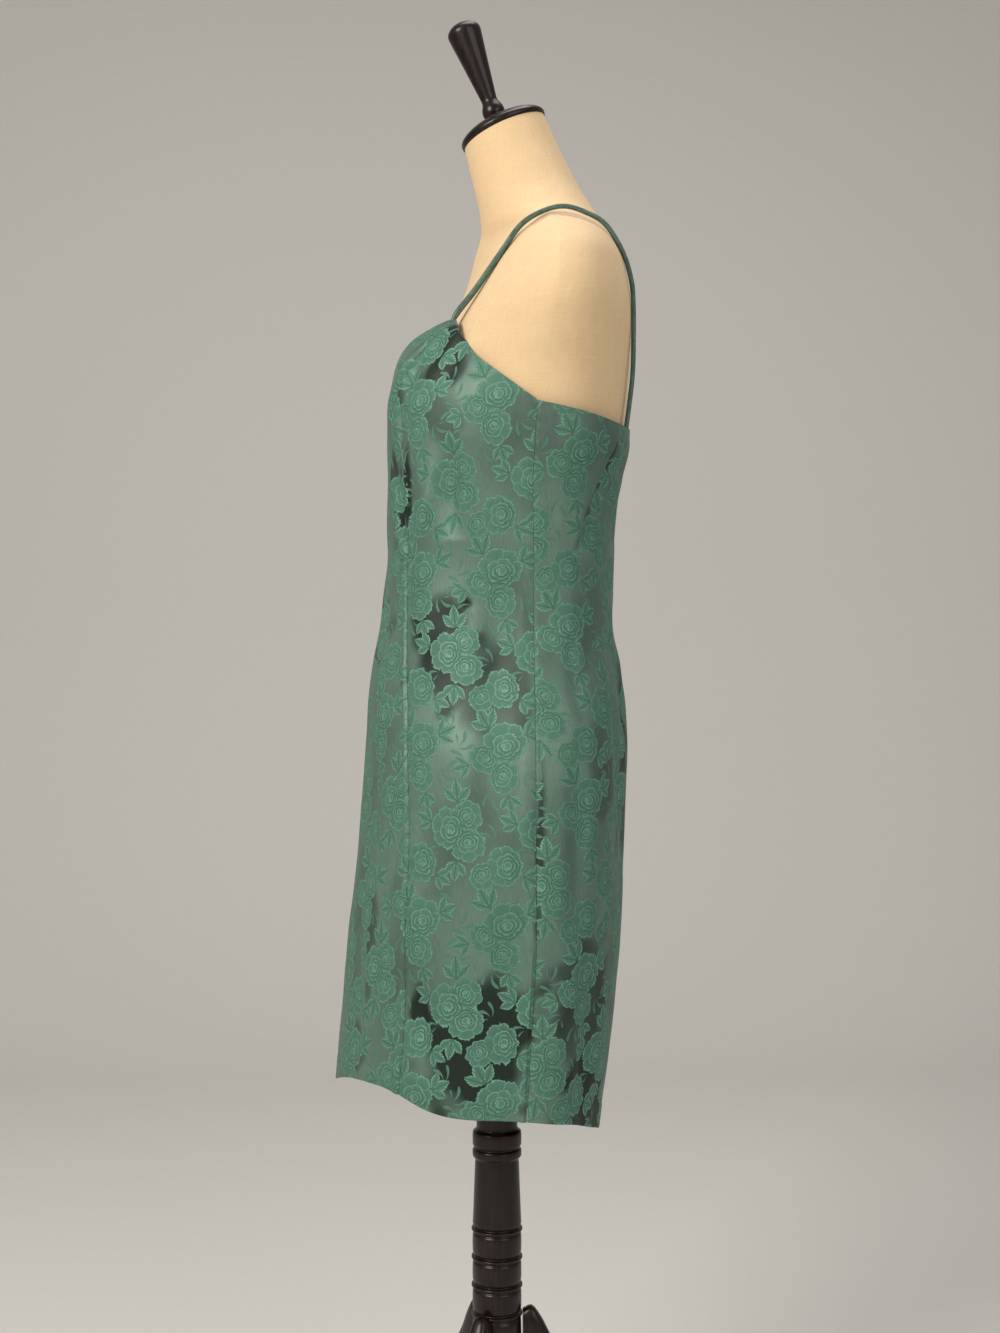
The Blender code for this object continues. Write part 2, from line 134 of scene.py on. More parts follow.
def shellFaces(rows, columns):
    # outer grid, inner grid turned round, and a rim of quads along the four edges
    outer = gridQuads(rows, columns)
    count = rows * columns
    inner = outer[:, ::-1] + count
    index = np.arange(count).reshape(rows, columns)
    rim = np.concatenate([index[0, :-1], index[:-1, -1], index[-1, :0:-1], index[:0:-1, 0]])
    ahead = np.roll(rim, -1)
    edge = np.stack([ahead, rim, rim + count, ahead + count], -1)
    return outer, inner, edge


def closedTube(rings):
    # a tube through rings of points, each end closed by a fan to its middle point
    count, corners = rings.shape[:2]
    points = np.concatenate([rings.reshape(-1, 3), rings[:1].mean(1), rings[-1:].mean(1)])
    quads = gridQuads(count, corners, wraps=True).tolist()
    first = np.arange(corners)
    last = first + (count - 1) * corners
    bottom = np.stack([np.roll(first, -1), first, np.full(corners, count * corners)], -1)
    top = np.stack([last, np.roll(last, -1), np.full(corners, count * corners + 1)], -1)
    return points, quads + bottom.tolist() + top.tolist()


# Outer surface of the cloth: a section at each height, elliptical where a power is 2.
dressRows = tableOf(
    "height halfWidth sideY frontY backY frontPower backPower",
    (1.240, 0.144, 0.035, -0.074, 0.1280, 1.40, 2.2),
    (1.221, 0.149, 0.035, -0.087, 0.1280, 1.58, 2.2),
    (1.190, 0.156, 0.035, -0.097, 0.1280, 1.95, 2.2),
    (1.150, 0.161, 0.035, -0.101, 0.1280, 2.20, 2.3),
    (1.110, 0.160, 0.035, -0.103, 0.1310, 2.30, 2.3),
    (1.080, 0.155, 0.034, -0.106, 0.1240, 2.30, 2.3),
    (1.040, 0.148, 0.034, -0.109, 0.1175, 2.30, 2.2),
    (1.000, 0.142, 0.034, -0.109, 0.1155, 2.20, 2.2),
    (0.960, 0.140, 0.034, -0.114, 0.1140, 2.20, 2.2),
    (0.930, 0.142, 0.034, -0.118, 0.1140, 2.20, 2.2),
    (0.895, 0.151, 0.034, -0.124, 0.1205, 2.15, 2.2),
    (0.860, 0.162, 0.034, -0.128, 0.1250, 2.15, 2.2),
    (0.816, 0.174, 0.034, -0.131, 0.1250, 2.10, 2.2),
    (0.755, 0.182, 0.034, -0.135, 0.1225, 2.10, 2.2),
    (0.700, 0.185, 0.034, -0.140, 0.1200, 2.10, 2.2),
    (0.640, 0.186, 0.034, -0.147, 0.1175, 2.10, 2.2),
    (0.560, 0.187, 0.032, -0.154, 0.1105, 2.10, 2.2),
    (0.500, 0.188, 0.029, -0.159, 0.1035, 2.10, 2.2),
    (0.430, 0.188, 0.027, -0.163, 0.0970, 2.10, 2.2),
)
# Depth at which the princess seam and the side seam lie.
seamRows = tableOf(
    "height princess side",
    (1.240, -0.030, 0.033),
    (1.221, -0.044, 0.033),
    (1.190, -0.076, 0.033),
    (1.155, -0.091, 0.033),
    (1.110, -0.093, 0.030),
    (1.070, -0.088, 0.028),
    (1.000, -0.088, 0.029),
    (0.900, -0.088, 0.029),
    (0.715, -0.086, 0.029),
    (0.637, -0.089, 0.029),
    (0.570, -0.090, 0.025),
    (0.500, -0.095, 0.021),
    (0.430, -0.099, 0.018),
)
# The hem's height by the turn from the centre front, in degrees.
hemRows = tableOf(
    "turn height",
    (0, 0.484),
    (28, 0.505),
    (45, 0.506),
    (62, 0.4915),
    (90, 0.4875),
    (118, 0.480),
    (142, 0.465),
    (162, 0.451),
    (180, 0.447),
)
# Main folds: height of the top and the bottom, share at the top and the bottom, depth (above 0 for
# a ridge), width, and the side (0 for both). A share is the place round the half girth, 0 at the
# centre front and 1 at the centre back.
foldRows = (
    (0.960, 0.380, 1.000, 1.000, -0.0120, 0.030, 0),
    (0.960, 0.400, 0.890, 0.880, 0.0040, 0.022, 0),
    (1.250, 1.150, 0.400, 0.330, -0.0085, 0.013, 1),
    (1.250, 1.160, 0.390, 0.340, -0.0080, 0.013, -1),
    (1.215, 1.120, 0.150, 0.260, 0.0030, 0.011, 1),
    (1.210, 1.130, 0.160, 0.250, 0.0030, 0.011, -1),
    (1.105, 1.010, 0.340, 0.360, -0.0090, 0.016, 1),
    (1.100, 1.020, 0.345, 0.355, -0.0080, 0.016, -1),
    (1.130, 1.000, 0.930, 0.690, -0.0060, 0.013, 1),
    (1.120, 1.010, 0.920, 0.700, -0.0055, 0.013, -1),
    (0.950, 0.820, 0.830, 0.850, -0.0040, 0.013, 1),
    (0.940, 0.810, 0.840, 0.850, -0.0040, 0.013, -1),
    (0.980, 0.700, 0.470, 0.455, -0.0045, 0.018, 1),
    (0.960, 0.690, 0.465, 0.450, -0.0045, 0.018, -1),
    (0.820, 0.620, 0.625, 0.635, -0.0050, 0.013, 1),
    (0.800, 0.610, 0.625, 0.640, -0.0045, 0.013, -1),
    (0.700, 0.440, 0.780, 0.800, 0.0040, 0.026, 1),
    (0.660, 0.450, 0.665, 0.690, -0.0045, 0.014, 1),
    (0.670, 0.460, 0.660, 0.690, -0.0040, 0.014, -1),
    (0.710, 0.430, 0.770, 0.790, 0.0040, 0.026, -1),
    (0.680, 0.450, 0.500, 0.520, -0.0050, 0.026, 1),
    (0.670, 0.450, 0.500, 0.520, -0.0045, 0.026, -1),
    (0.620, 0.520, 0.340, 0.370, -0.0070, 0.014, 1),
    (0.640, 0.530, 0.340, 0.360, -0.0055, 0.014, -1),
    (0.930, 0.480, 0.130, 0.160, -0.0035, 0.022, 1),
    (0.900, 0.470, 0.140, 0.150, -0.0035, 0.022, -1),
)
# Small creases in the satin: from (share, height) to (share, height), depth and width in mm,
# bow in mm, and the side they are on. They run out from the strap joints, under the bust, along
# the seams and near the hem, unevenly on the two sides.
creaseRows = (
    (0.270, 1.214, 0.110, 1.120, 1.5, 6, 9, 1),
    (0.272, 1.210, 0.150, 1.085, -2.8, 5, 8, 1),
    (0.278, 1.206, 0.185, 1.060, 2.6, 6, 7, 1),
    (0.285, 1.200, 0.215, 1.100, -3.2, 6, 4, 1),
    (0.295, 1.205, 0.305, 1.165, -3.0, 8, 0, 1),
    (0.310, 1.195, 0.380, 1.135, -1.5, 9, -5, 1),
    (0.180, 1.115, 0.218, 0.990, -4.4, 6, 4, 1),
    (0.160, 1.095, 0.192, 0.985, 3.0, 6, 5, 1),
    (0.200, 1.066, 0.175, 1.000, -3.2, 4, -2, 1),
    (0.306, 1.110, 0.240, 1.000, 2.4, 6, -7, 1),
    (0.250, 1.105, 0.228, 0.960, -3.0, 6, 3, 1),
    (0.406, 1.140, 0.392, 0.955, -0.9, 4, 1, 1),
    (0.398, 0.962, 0.398, 0.940, -2.2, 4, 0, 1),
    (0.775, 1.112, 0.648, 0.998, -5.0, 5.5, 3, 1),
    (0.790, 1.100, 0.690, 0.990, 2.6, 7, 4, 1),
    (0.579, 1.128, 0.590, 1.095, -1.8, 4, 2, 1),
    (0.586, 1.055, 0.589, 1.015, -1.3, 5, 0, 1),
    (0.642, 0.925, 0.650, 0.840, -1.6, 6, 5, 1),
    (0.700, 0.930, 0.640, 0.870, -1.2, 7, -4, 1),
    (0.777, 0.935, 0.878, 0.690, -3.6, 9, 7, 1),
    (0.556, 0.840, 0.560, 0.665, -2.6, 5, 0, 1),
    (0.561, 0.710, 0.585, 0.690, -1.6, 4, 2, 1),
    (0.556, 0.606, 0.620, 0.596, -1.5, 4, 3, 1),
    (0.333, 0.640, 0.366, 0.545, -2.8, 5, 3, 1),
    (0.348, 0.618, 0.335, 0.560, 2.0, 5, -4, 1),
    (0.372, 0.600, 0.352, 0.548, 1.8, 5, 2, 1),
    (0.320, 0.610, 0.385, 0.585, -1.4, 5, 3, 1),
    (0.246, 0.965, 0.252, 0.820, 1.0, 7, 3, 1),
    (0.120, 0.960, 0.080, 0.800, -1.0, 9, 6, 1),
    (0.060, 0.780, 0.110, 0.600, 1.0, 12, -5, 1),
    (0.440, 0.700, 0.450, 0.540, -1.0, 12, 5, 1),
    (0.700, 0.640, 0.720, 0.500, 1.0, 12, 4, 1),
    (0.268, 1.212, 0.120, 1.125, 1.4, 6, 8, -1),
    (0.274, 1.208, 0.160, 1.075, -1.8, 5, 7, -1),
    (0.282, 1.203, 0.205, 1.070, 1.5, 6, 5, -1),
    (0.296, 1.203, 0.300, 1.160, -2.8, 8, 0, -1),
    (0.312, 1.190, 0.375, 1.130, -1.4, 9, -4, -1),
    (0.185, 1.105, 0.212, 1.000, -4.0, 6, 4, -1),
    (0.165, 1.085, 0.185, 0.990, 2.8, 6, 4, -1),
    (0.300, 1.100, 0.245, 1.010, 2.2, 6, -6, -1),
    (0.404, 1.135, 0.395, 0.960, -0.8, 4, 1, -1),
    (0.762, 1.108, 0.660, 1.008, -4.4, 5.5, 3, -1),
    (0.790, 1.080, 0.690, 0.990, 1.4, 9, 4, -1),
    (0.580, 1.125, 0.592, 1.090, -1.6, 4, 2, -1),
    (0.650, 0.930, 0.655, 0.850, -1.5, 6, 4, -1),
    (0.790, 0.900, 0.860, 0.720, -2.2, 10, 6, -1),
    (0.558, 0.820, 0.562, 0.680, -2.3, 5, 0, -1),
    (0.560, 0.620, 0.615, 0.604, -1.4, 4, 3, -1),
    (0.338, 0.650, 0.362, 0.560, -2.4, 5, 3, -1),
    (0.372, 0.612, 0.355, 0.556, 1.6, 5, 2, -1),
    (0.130, 0.940, 0.090, 0.810, -1.0, 9, 5, -1),
    (0.450, 0.680, 0.445, 0.550, -1.0, 12, 5, -1),
    (0.930, 1.100, 0.880, 0.990, -1.6, 7, 4, 1),
    (0.940, 1.090, 0.890, 1.000, -1.5, 7, 4, -1),
    (0.930, 0.960, 0.800, 0.900, -1.4, 8, 5, 1),
    (0.940, 0.940, 0.830, 0.890, -1.3, 8, 5, -1),
)
# Painted shade on the satin's ground, in fold hollows and where its sheen would turn dark: share,
# height, half width and half height in mm, lean in degrees, amount, and the side (0 for both).
paintedShadeRows = (
    (0.345, 0.912, 30, 54, 12, 0.95, 0),
    (0.462, 0.870, 34, 44, 0, 0.65, 0),
    (0.325, 1.134, 26, 42, 10, 0.6, 0),
    (0.708, 1.058, 5, 60, -25, 0.55, 1),
    (0.830, 0.810, 9, 110, -14, 0.5, 1),
    (0.290, 0.655, 22, 56, 6, 0.3, 0),
    (0.465, 0.556, 44, 62, -25, 1.0, 0),
    (0.330, 1.178, 22, 24, 20, 0.9, 0),
    (0.308, 1.199, 14, 14, 0, 0.9, 0),
    (0.198, 1.042, 6, 34, -6, 0.9, 0),
    (0.228, 1.062, 5, 40, -4, 0.7, 0),
    (0.215, 1.150, 5, 30, -20, 0.5, 0),
    (0.165, 1.060, 7, 44, -4, 0.5, 0),
    (0.398, 0.952, 5, 6, 0, 0.9, 0),
    (0.556, 0.735, 4, 80, 0, 0.7, 0),
    (0.350, 0.575, 10, 26, 15, 0.7, 0),
    (0.720, 0.495, 66, 46, 10, 0.9, 0),
    (0.668, 0.590, 40, 64, 0, 0.68, 0),
    (0.860, 0.780, 16, 70, 5, 0.55, 0),
    (0.200, 0.640, 12, 60, 6, 0.5, 0),
    (0.700, 0.800, 22, 46, 8, 0.45, 0),
    (0.080, 0.930, 30, 34, -20, 0.6, 1),
    (0.150, 0.870, 16, 40, 15, 0.5, -1),
    (0.060, 0.560, 30, 36, 25, 0.7, -1),
    (0.170, 0.530, 20, 26, -10, 0.6, 1),
    (0.920, 1.000, 22, 46, 10, 0.6, 1),
    (0.900, 0.620, 26, 60, -8, 0.5, -1),
)
bust = {"x": 0.078, "z": 1.145, "reach": 0.013, "halfWidth": 0.046, "halfHeight": 0.052}
topEdge = {"middle": 1.180, "corner": 1.221, "armhole": 1.1355, "drop": 0.005, "dip": 0.011}
cloth = {
    "wall": 0.0011,
    "seamDip": 0.0006,  # how far the cloth turns in beside a seam
    "seamDipWidth": 0.0022,
    "pucker": 0.00028,  # ripple that the seam's thread draws up
    "puckerPitch": 0.013,
    "puckerFade": 0.009,
    "allowance": 0.012,  # pressed seam allowance that shows through as a faint step
    "allowanceRise": 0.00035,
    "hemDepth": 0.024,
    "hemRise": 0.0005,
    "softness": 0.0007,
    "softSize": 0.075,
    "fineSoftness": 0.0003,
    "fineSize": 0.028,
    "edgeRound": 0.0011,  # reach of the rounding at the top edge and the hem
    "edgeRoundDepth": 0.0006,
    "hemLevel": 0.485,
    "normalStep": 0.004,  # share of the half girth over which a normal is read
    "princessRidge": 0.0013,
    "sideRidge": 0.0024,
    "ridgeAway": 0.0038,  # from the seam to the ridge's middle
    "ridgeWidth": 0.0026,
}
# The panels' grid: rough sizes, the fine distances beside a seam and beside the top edge or hem,
# and how far the weave is shifted for each step of a panel's seed.
panelGrid = {
    "width": {"centre": 0.29, "side": 0.11, "back": 0.19},
    "height": 0.7,
    "besideSeam": (0, 0.0003, 0.0008, 0.0016, 0.0028, 0.0045),
    "besideEdge": (0, 0.0003, 0.0007, 0.0013, 0.0024),
    "rows": 270,
    "weaveShift": (0.0371, 0.023),
}
# The seam allowances: depth behind the wall, thickness, distances out from the seam, and the
# heights between which each kind runs.
tape = {
    "depth": 0.0013,
    "thickness": 0.0003,
    "rows": 150,
    "out": (-0.010, -0.0098, -0.006, -0.002, 0.002, 0.006, 0.0098, 0.010),
    "ends": {"princess": (0.520, 1.208), "side": (0.500, 1.124), "back": (0.462, 1.116)},
}
# The painted sheen of the ground where no painted shade darkens it: level, and the sizes and amounts of its
# drift.
paintedSheenDrift = {"level": 0.84, "broad": 0.22, "broadSize": 0.13, "fine": 0.08, "fineSize": 0.05}


def bustDepth(x, z):
    # one Gaussian mound a side
    across = (np.abs(x) - bust["x"]) / bust["halfWidth"]
    up = (z - bust["z"]) / bust["halfHeight"]
    return bust["reach"] * np.exp(-(across**2 + up**2) / 2)


def sectionAt(rows, turn, z):
    # superellipse: x = half width * sin^(2/power), y = side + reach * cos^(2/power) less the bust
    halfWidth, side, front, back, frontPower, backPower = (
        readTable(rows, "height", name, z)
        for name in ("halfWidth", "sideY", "frontY", "backY", "frontPower", "backPower")
    )
    forward = turn < pi / 2
    power = np.where(forward, frontPower, backPower)
    x = halfWidth * np.abs(np.sin(turn)) ** (2 / power)
    depth = np.abs(np.cos(turn)) ** (2 / power)
    y = side + np.where(forward, front - side, back - side) * depth
    return x, y - np.where(forward, bustDepth(x, z) * np.minimum(1, 2 * depth), 0)


def walkGirths(rows, heights, turns, shares):
    # walks each section from front to back and reads it again at even shares of its length
    turnGrid, heightGrid = np.meshgrid(turns, heights)
    x, y = sectionAt(rows, turnGrid, heightGrid)
    steps = np.hypot(np.diff(x, axis=1), np.diff(y, axis=1))
    length = np.concatenate([np.zeros((len(heights), 1)), np.cumsum(steps, 1)], 1)
    made = {"girth": length[:, -1], "x": [], "y": [], "turn": [], "princess": [], "side": []}
    for row, height in enumerate(heights):
        at = shares * length[row, -1]
        made["x"].append(np.interp(at, length[row], x[row]))
        made["y"].append(np.interp(at, length[row], y[row]))
        made["turn"].append(np.interp(at, length[row], turns))
        for seam in ("princess", "side"):
            depth = readTable(seamRows, "height", seam, height)
            made[seam].append(np.interp(depth, y[row], length[row]) / length[row, -1])
    return {name: np.array(values) for name, values in made.items()}


walkHeights = np.linspace(0.42, 1.245, 660)
walkShares = np.linspace(0, 1, 561)
walk = walkGirths(dressRows, walkHeights, np.linspace(0, pi, 901), walkShares)


def readWalk(name, share, z):
    # bilinear reading of one walked value at a share and a height
    values = walk[name]
    row = np.clip(np.interp(z, walkHeights, np.arange(len(walkHeights))), 0, len(walkHeights) - 1.001)
    column = np.clip(share * (len(walkShares) - 1), 0, len(walkShares) - 1.001)
    i, j = row.astype(int), column.astype(int)
    p, q = row - i, column - j
    low = values[i, j] * (1 - q) + values[i, j + 1] * q
    high = values[i + 1, j] * (1 - q) + values[i + 1, j + 1] * q
    return low * (1 - p) + high * p


def girthAt(z):
    # half the dress's girth at a height, front to back, as walked
    return np.interp(z, walkHeights, walk["girth"])


def seamShare(name, z):
    # share of the half girth at which a seam lies
    if name in ("front", "back"):
        return np.full(np.shape(z), 0.0 if name == "front" else 1.0)
    return np.interp(z, walkHeights, walk[name])


def topHeight(panel, across):
    # neckline: a sine rise to the strap; armhole: a power curve down; back: a shallow dip
    if panel == "centre":
        rise = np.sin(pi / 2 * np.abs(across) ** 1.3)
        return topEdge["middle"] + (topEdge["corner"] - topEdge["middle"]) * rise
    if panel == "side":
        return topEdge["armhole"] + (topEdge["corner"] - topEdge["armhole"]) * (1 - across**1.25)
    return topEdge["armhole"] - topEdge["drop"] * across - topEdge["dip"] * np.sin(pi * across)


def mainFolds(place, z):
    # sum of soft bells across each fold's line, fading at its ends; place is the signed share
    girth = girthAt(z)
    total = np.zeros(place.shape)
    for top, bottom, topShare, bottomShare, depth, width, side in foldRows:
        down = np.clip((top - z) / (top - bottom), 0, 1)
        line = topShare + (bottomShare - topShare) * down
        across = (np.abs(place) - line if side == 0 else place - side * line) * girth / width
        total += depth * np.sin(pi * down) * np.exp(-(across**2))
    return total


def smallCreases(place, z):
    # each crease is a bell across a bowed line, uneven along it, with a faint ridge on one flank
    girth = girthAt(z)
    total = np.zeros(place.shape)
    for number, (share0, z0, share1, z1, depth, width, bow, side) in enumerate(creaseRows):
        u = place * side * girth
        startU, endU = share0 * girthAt(z0), share1 * girthAt(z1)
        runU, runZ = endU - startU, z1 - z0
        length = np.hypot(runU, runZ)
        t = np.clip(((u - startU) * runU + (z - z0) * runZ) / length**2, 0, 1)
        away = ((u - startU) * runZ - (z - z0) * runU) / length - bow / 1000 * np.sin(pi * t)
        spread = width / 1000 * (0.75 + 0.5 * np.sin(pi * t))
        uneven = 0.8 + 0.2 * np.sin(11 * t + 1.7 * number)
        fade = np.sin(pi * t) ** 0.8 * uneven
        bell = np.exp(-((away / spread) ** 2)) - 0.35 * np.exp(-(((away - 1.5 * spread) / spread) ** 2))
        total += depth / 1000 * fade * bell
    return total


def seamRelief(distance, z, seed, ridge):
    # turned-in edge, thread pucker that fades over a centimetre, the allowance's faint step, and
    # a rolled ridge just beside the seam where ridge is above 0
    dip = -cloth["seamDip"] * np.exp(-((distance / cloth["seamDipWidth"]) ** 2))
    drift = softNoise(z, z * 0, 0.06, seed) * 2.2
    ripple = np.sin(2 * pi * z / cloth["puckerPitch"] + drift)
    swell = 0.6 + 0.4 * softNoise(z, z * 0, 0.11, seed + 1)
    pucker = cloth["pucker"] * swell * ripple * np.exp(-((distance / cloth["puckerFade"]) ** 2))
    edge = cloth["allowance"]
    step = cloth["allowanceRise"] * (1 - smoothStep(edge - 0.002, edge + 0.002, distance))
    roll = ridge * np.exp(-(((distance - cloth["ridgeAway"]) / cloth["ridgeWidth"]) ** 2))
    return dip + pucker + step + roll


def paintedSheenAndShade(place, z):
    # painted sheen and shade: 1 where the ground shows its pale painted sheen, down to 0 in leaning
    # elliptical bells of painted shade; the right side's copy of a bell is shifted a little, so that
    # the two sides differ
    girth = girthAt(z)
    broad = paintedSheenDrift["broad"] * softNoise(place * girth, z, paintedSheenDrift["broadSize"], 51)
    fine = paintedSheenDrift["fine"] * softNoise(place * girth, z, paintedSheenDrift["fineSize"], 52)
    tone = paintedSheenDrift["level"] + broad + fine
    for number, (share, height, halfWidth, halfHeight, lean, amount, only) in enumerate(paintedShadeRows):
        for side in (1, -1):
            if only == -side:
                continue
            shift = 0.0 if side > 0 or only else 0.014 * sin(5.0 * number)
            u = (place * side - share) * girth + shift
            v = z - height - shift
            along = (u * cos(radians(lean)) + v * sin(radians(lean))) * 1000 / halfWidth
            across = (v * cos(radians(lean)) - u * sin(radians(lean))) * 1000 / halfHeight
            away = (along**2 + across**2) * (1 + 0.45 * softNoise(u, v, 0.035, 60 + number))
            tone = tone - amount * (1 - smoothStep(0.35, 1.5, away))
    return np.clip(tone, 0, 1)


def wallPoints(place, z, wall):
    # outer points of the cloth at signed shares, moved out along the section's normal, and the
    # inner points one wall behind them
    share = np.abs(place)
    side = np.where(place < 0, -1.0, 1.0)
    step = cloth["normalStep"]
    x = readWalk("x", share, z)
    y = readWalk("y", share, z)
    ahead = np.minimum(share + step, 1)
    behind = np.maximum(share - step, 0)
    runX = readWalk("x", ahead, z) - readWalk("x", behind, z)
    runY = readWalk("y", ahead, z) - readWalk("y", behind, z)
    # at the centre front and back the section runs straight across
    runY = np.where((share < step) | (share > 1 - step), runY * np.minimum(share, 1 - share) / step, runY)
    run = np.hypot(runX, runY)
    outX, outY = runY / run, -runX / run
    out = np.stack([outX * side, outY, np.zeros(place.shape)], -1)
    points = np.stack([x * side, y + poleY, z], -1)
    points = points + out * wall[..., None]
    return points, out


def seamRidges(panel, place, z):
    # the rolled ridge beside each seam: on the centre panel at both princess seams, and on the
    # side panel at the lower half of the side seam
    princess = cloth["princessRidge"] * (1 - smoothStep(0.94, 1.00, z))
    side = cloth["sideRidge"] * (1 - smoothStep(0.62, 0.70, z))
    if panel == "centre":
        return princess, princess
    if panel == "side":
        return (0.0, side) if place[0] > 0 else (side, 0.0)
    return 0.0, 0.0


def clothPanel(name, seams, place, panel, columns, seed, materials, node):
    # a grid between two seams, hem to top edge: base surface + folds + creases + seam relief
    across = clustered(panelGrid["width"][panel], panelGrid["besideSeam"], columns)
    up = clustered(panelGrid["height"], panelGrid["besideEdge"], panelGrid["rows"])
    first, last = seams
    hemZ = cloth["hemLevel"]
    signedFirst = place[0] * seamShare(first, np.array(hemZ))
    signedLast = place[1] * seamShare(last, np.array(hemZ))
    hemPlace = np.abs(signedFirst * (1 - across) + signedLast * across)
    turn = np.degrees(readWalk("turn", hemPlace, np.full(across.shape, hemZ)))
    hem = readTable(hemRows, "turn", "height", turn)
    # a panel's own way across: 0 at its front seam and 1 at its back seam
    if panel == "centre":
        ownWay = 2 * across - 1
    else:
        ownWay = across if place[0] > 0 else 1 - across
    top = topHeight(panel, ownWay)
    z = hem[None, :] + (top - hem)[None, :] * up[:, None]
    girth = girthAt(z)
    inset = seamGap / 2 / girth
    low = place[0] * seamShare(first, z) + inset
    high = place[1] * seamShare(last, z) - inset
    where = low * (1 - across)[None, :] + high * across[None, :]
    fromLow = (where - low) * girth
    fromHigh = (high - where) * girth
    fromHem = z - hem[None, :]
    fromTop = top[None, :] - z

    relief = mainFolds(where, z) + smallCreases(where, z)
    lowRidge, highRidge = seamRidges(panel, place, z)
    relief += seamRelief(fromLow, z, seed, lowRidge) + seamRelief(fromHigh, z, seed + 7, highRidge)
    arc = where * girth
    slack = smoothStep(0.0, 0.03, fromTop)
    relief += cloth["softness"] * slack * softNoise(arc, z * 0.55, cloth["softSize"], 31)
    slack = smoothStep(0.0, 0.02, fromTop)
    relief += cloth["fineSoftness"] * softNoise(arc, z * 0.7, cloth["fineSize"], 32) * slack
    hemBand = 1 - smoothStep(cloth["hemDepth"] - 0.003, cloth["hemDepth"] + 0.001, fromHem)
    relief += cloth["hemRise"] * hemBand
    # the folded top edge and the hem round off over half the wall
    for distance in (fromHem, fromTop):
        near = np.clip(1 - distance / cloth["edgeRound"], 0, 1)
        relief -= cloth["edgeRoundDepth"] * (1 - np.sqrt(np.clip(1 - near**2, 0, 1)))
    outer, out = wallPoints(where, z, relief)
    inner = outer - out * cloth["wall"]
    points = np.concatenate([outer.reshape(-1, 3), inner.reshape(-1, 3)])
    outerFaces, innerFaces, edgeFaces = shellFaces(*z.shape)
    faces = np.concatenate([outerFaces, innerFaces, edgeFaces])
    kinds = [0] * len(outerFaces) + [1] * len(innerFaces) + [0] * len(edgeFaces)
    # the grain runs down the panel's middle: u is the distance from that line, v the height
    middle = (low + high) / 2
    shiftU, shiftV = panelGrid["weaveShift"]
    flat = np.stack([(where - middle) * girth + seed * shiftU, z + seed * shiftV], -1).reshape(-1, 2)
    flat = np.concatenate([flat, flat])
    piece = addPiece(name, points, faces.tolist(), materials, flat, node, kinds)
    # painted sheen and shade of the ground, kept on each point for the satin to read
    tone = paintedSheenAndShade(where, z).ravel()
    stored = piece.data.attributes.new("paintedSheenAndShade", "FLOAT", "POINT")
    stored.data.foreach_set("value", np.tile(tone, 2).astype(np.float32))
    return piece


def seamTape(name, seam, side):
    # the pressed-open allowances behind a seam: a strip of cloth 20 mm wide, a wall's depth in
    up = np.linspace(0, 1, tape["rows"])[:, None]
    out = np.array(tape["out"])[None, :]
    low, high = tape["ends"][seam]
    z = low + (high - low) * up + out * 0
    girth = girthAt(z)
    place = seamShare(seam, z) + out / girth
    place = np.where(place > 1, place - 2, place) * side
    if side < 0:
        place = place[:, ::-1]
    relief = mainFolds(place, z) + smallCreases(place, z) - cloth["wall"] - tape["depth"]
    outer, away = wallPoints(place, z, relief)
    points = np.concatenate([outer.reshape(-1, 3), (outer - away * tape["thickness"]).reshape(-1, 3)])
    faces = np.concatenate(shellFaces(*z.shape)).tolist()
    flat = np.stack([out + z * 0, z], -1).reshape(-1, 2)
    flat = np.concatenate([flat, flat])
    return addPiece(name, points, faces, [liningCloth], flat)


print("surface tables walked")


def srgb(hexColour):
    # sRGB hex to linear: c / 12.92 below 0.04045, and ((c + 0.055) / 1.055) ^ 2.4 above
    parts = [int(hexColour[i : i + 2], 16) / 255 for i in (1, 3, 5)]
    linear = [c / 12.92 if c <= 0.04045 else ((c + 0.055) / 1.055) ** 2.4 for c in parts]
    return (*linear, 1.0)


def addNode(tree, kind, *inputs, **more):
    # adds one node; inputs go to its sockets in order (None leaves one alone), names that start
    # with a capital are sockets, with _ for a space, and the others are the node's own settings
    node = tree.nodes.new("ShaderNode" + kind)
    wanted = list(zip(node.inputs, inputs))
    for name, value in more.items():
        if name[0].islower():
            setattr(node, name, value)
    for name, value in more.items():
        if name[0].isupper():
            wanted.append((node.inputs[name.replace("_", " ")], value))
    for socket, value in wanted:
        if isinstance(value, bpy.types.Node):
            value = value.outputs[0]
        if isinstance(value, bpy.types.NodeSocket):
            tree.links.new(value, socket)
        elif value is not None:
            socket.default_value = value
    return node


def maths(tree, operation, *inputs):
    # a Math node
    return addNode(tree, "Math", *inputs, operation=operation)


def vectorMaths(tree, operation, *inputs, **more):
    # a Vector Math node
    return addNode(tree, "VectorMath", *inputs, operation=operation, **more)


def mixed(tree, *inputs, **more):
    # a colour mix: first * (1 - factor) + second * factor, or the blend that blend_type names
    return addNode(tree, "MixRGB", *inputs, **more)


def noise(tree, place, scale, detail, **more):
    # fractal noise about 0.5: scale is the cells to a unit of the place, detail the octaves
    return addNode(tree, "TexNoise", place, Scale=scale, Detail=detail, **more).outputs["Fac"]


def raised(tree, strength, distance, height):
    # a bump in the surface's normal: strength * distance * height, in metres
    return addNode(tree, "Bump", Strength=strength, Distance=distance, Height=height)


def clothPlace(tree):
    # where a point lies on the flat cloth, in mm
    return vectorMaths(tree, "SCALE", addNode(tree, "UVMap", uv_map="clothUv"), Scale=1000.0)


def finished(material, tree, **settings):
    # a Principled surface with these settings, joined to the output
    addNode(tree, "OutputMaterial", addNode(tree, "BsdfPrincipled", **settings))
    return material


def newMaterial(name):
    # an empty node tree with its output
    material = bpy.data.materials.new(name)
    material.use_nodes = True
    material.node_tree.nodes.clear()
    return material, material.node_tree


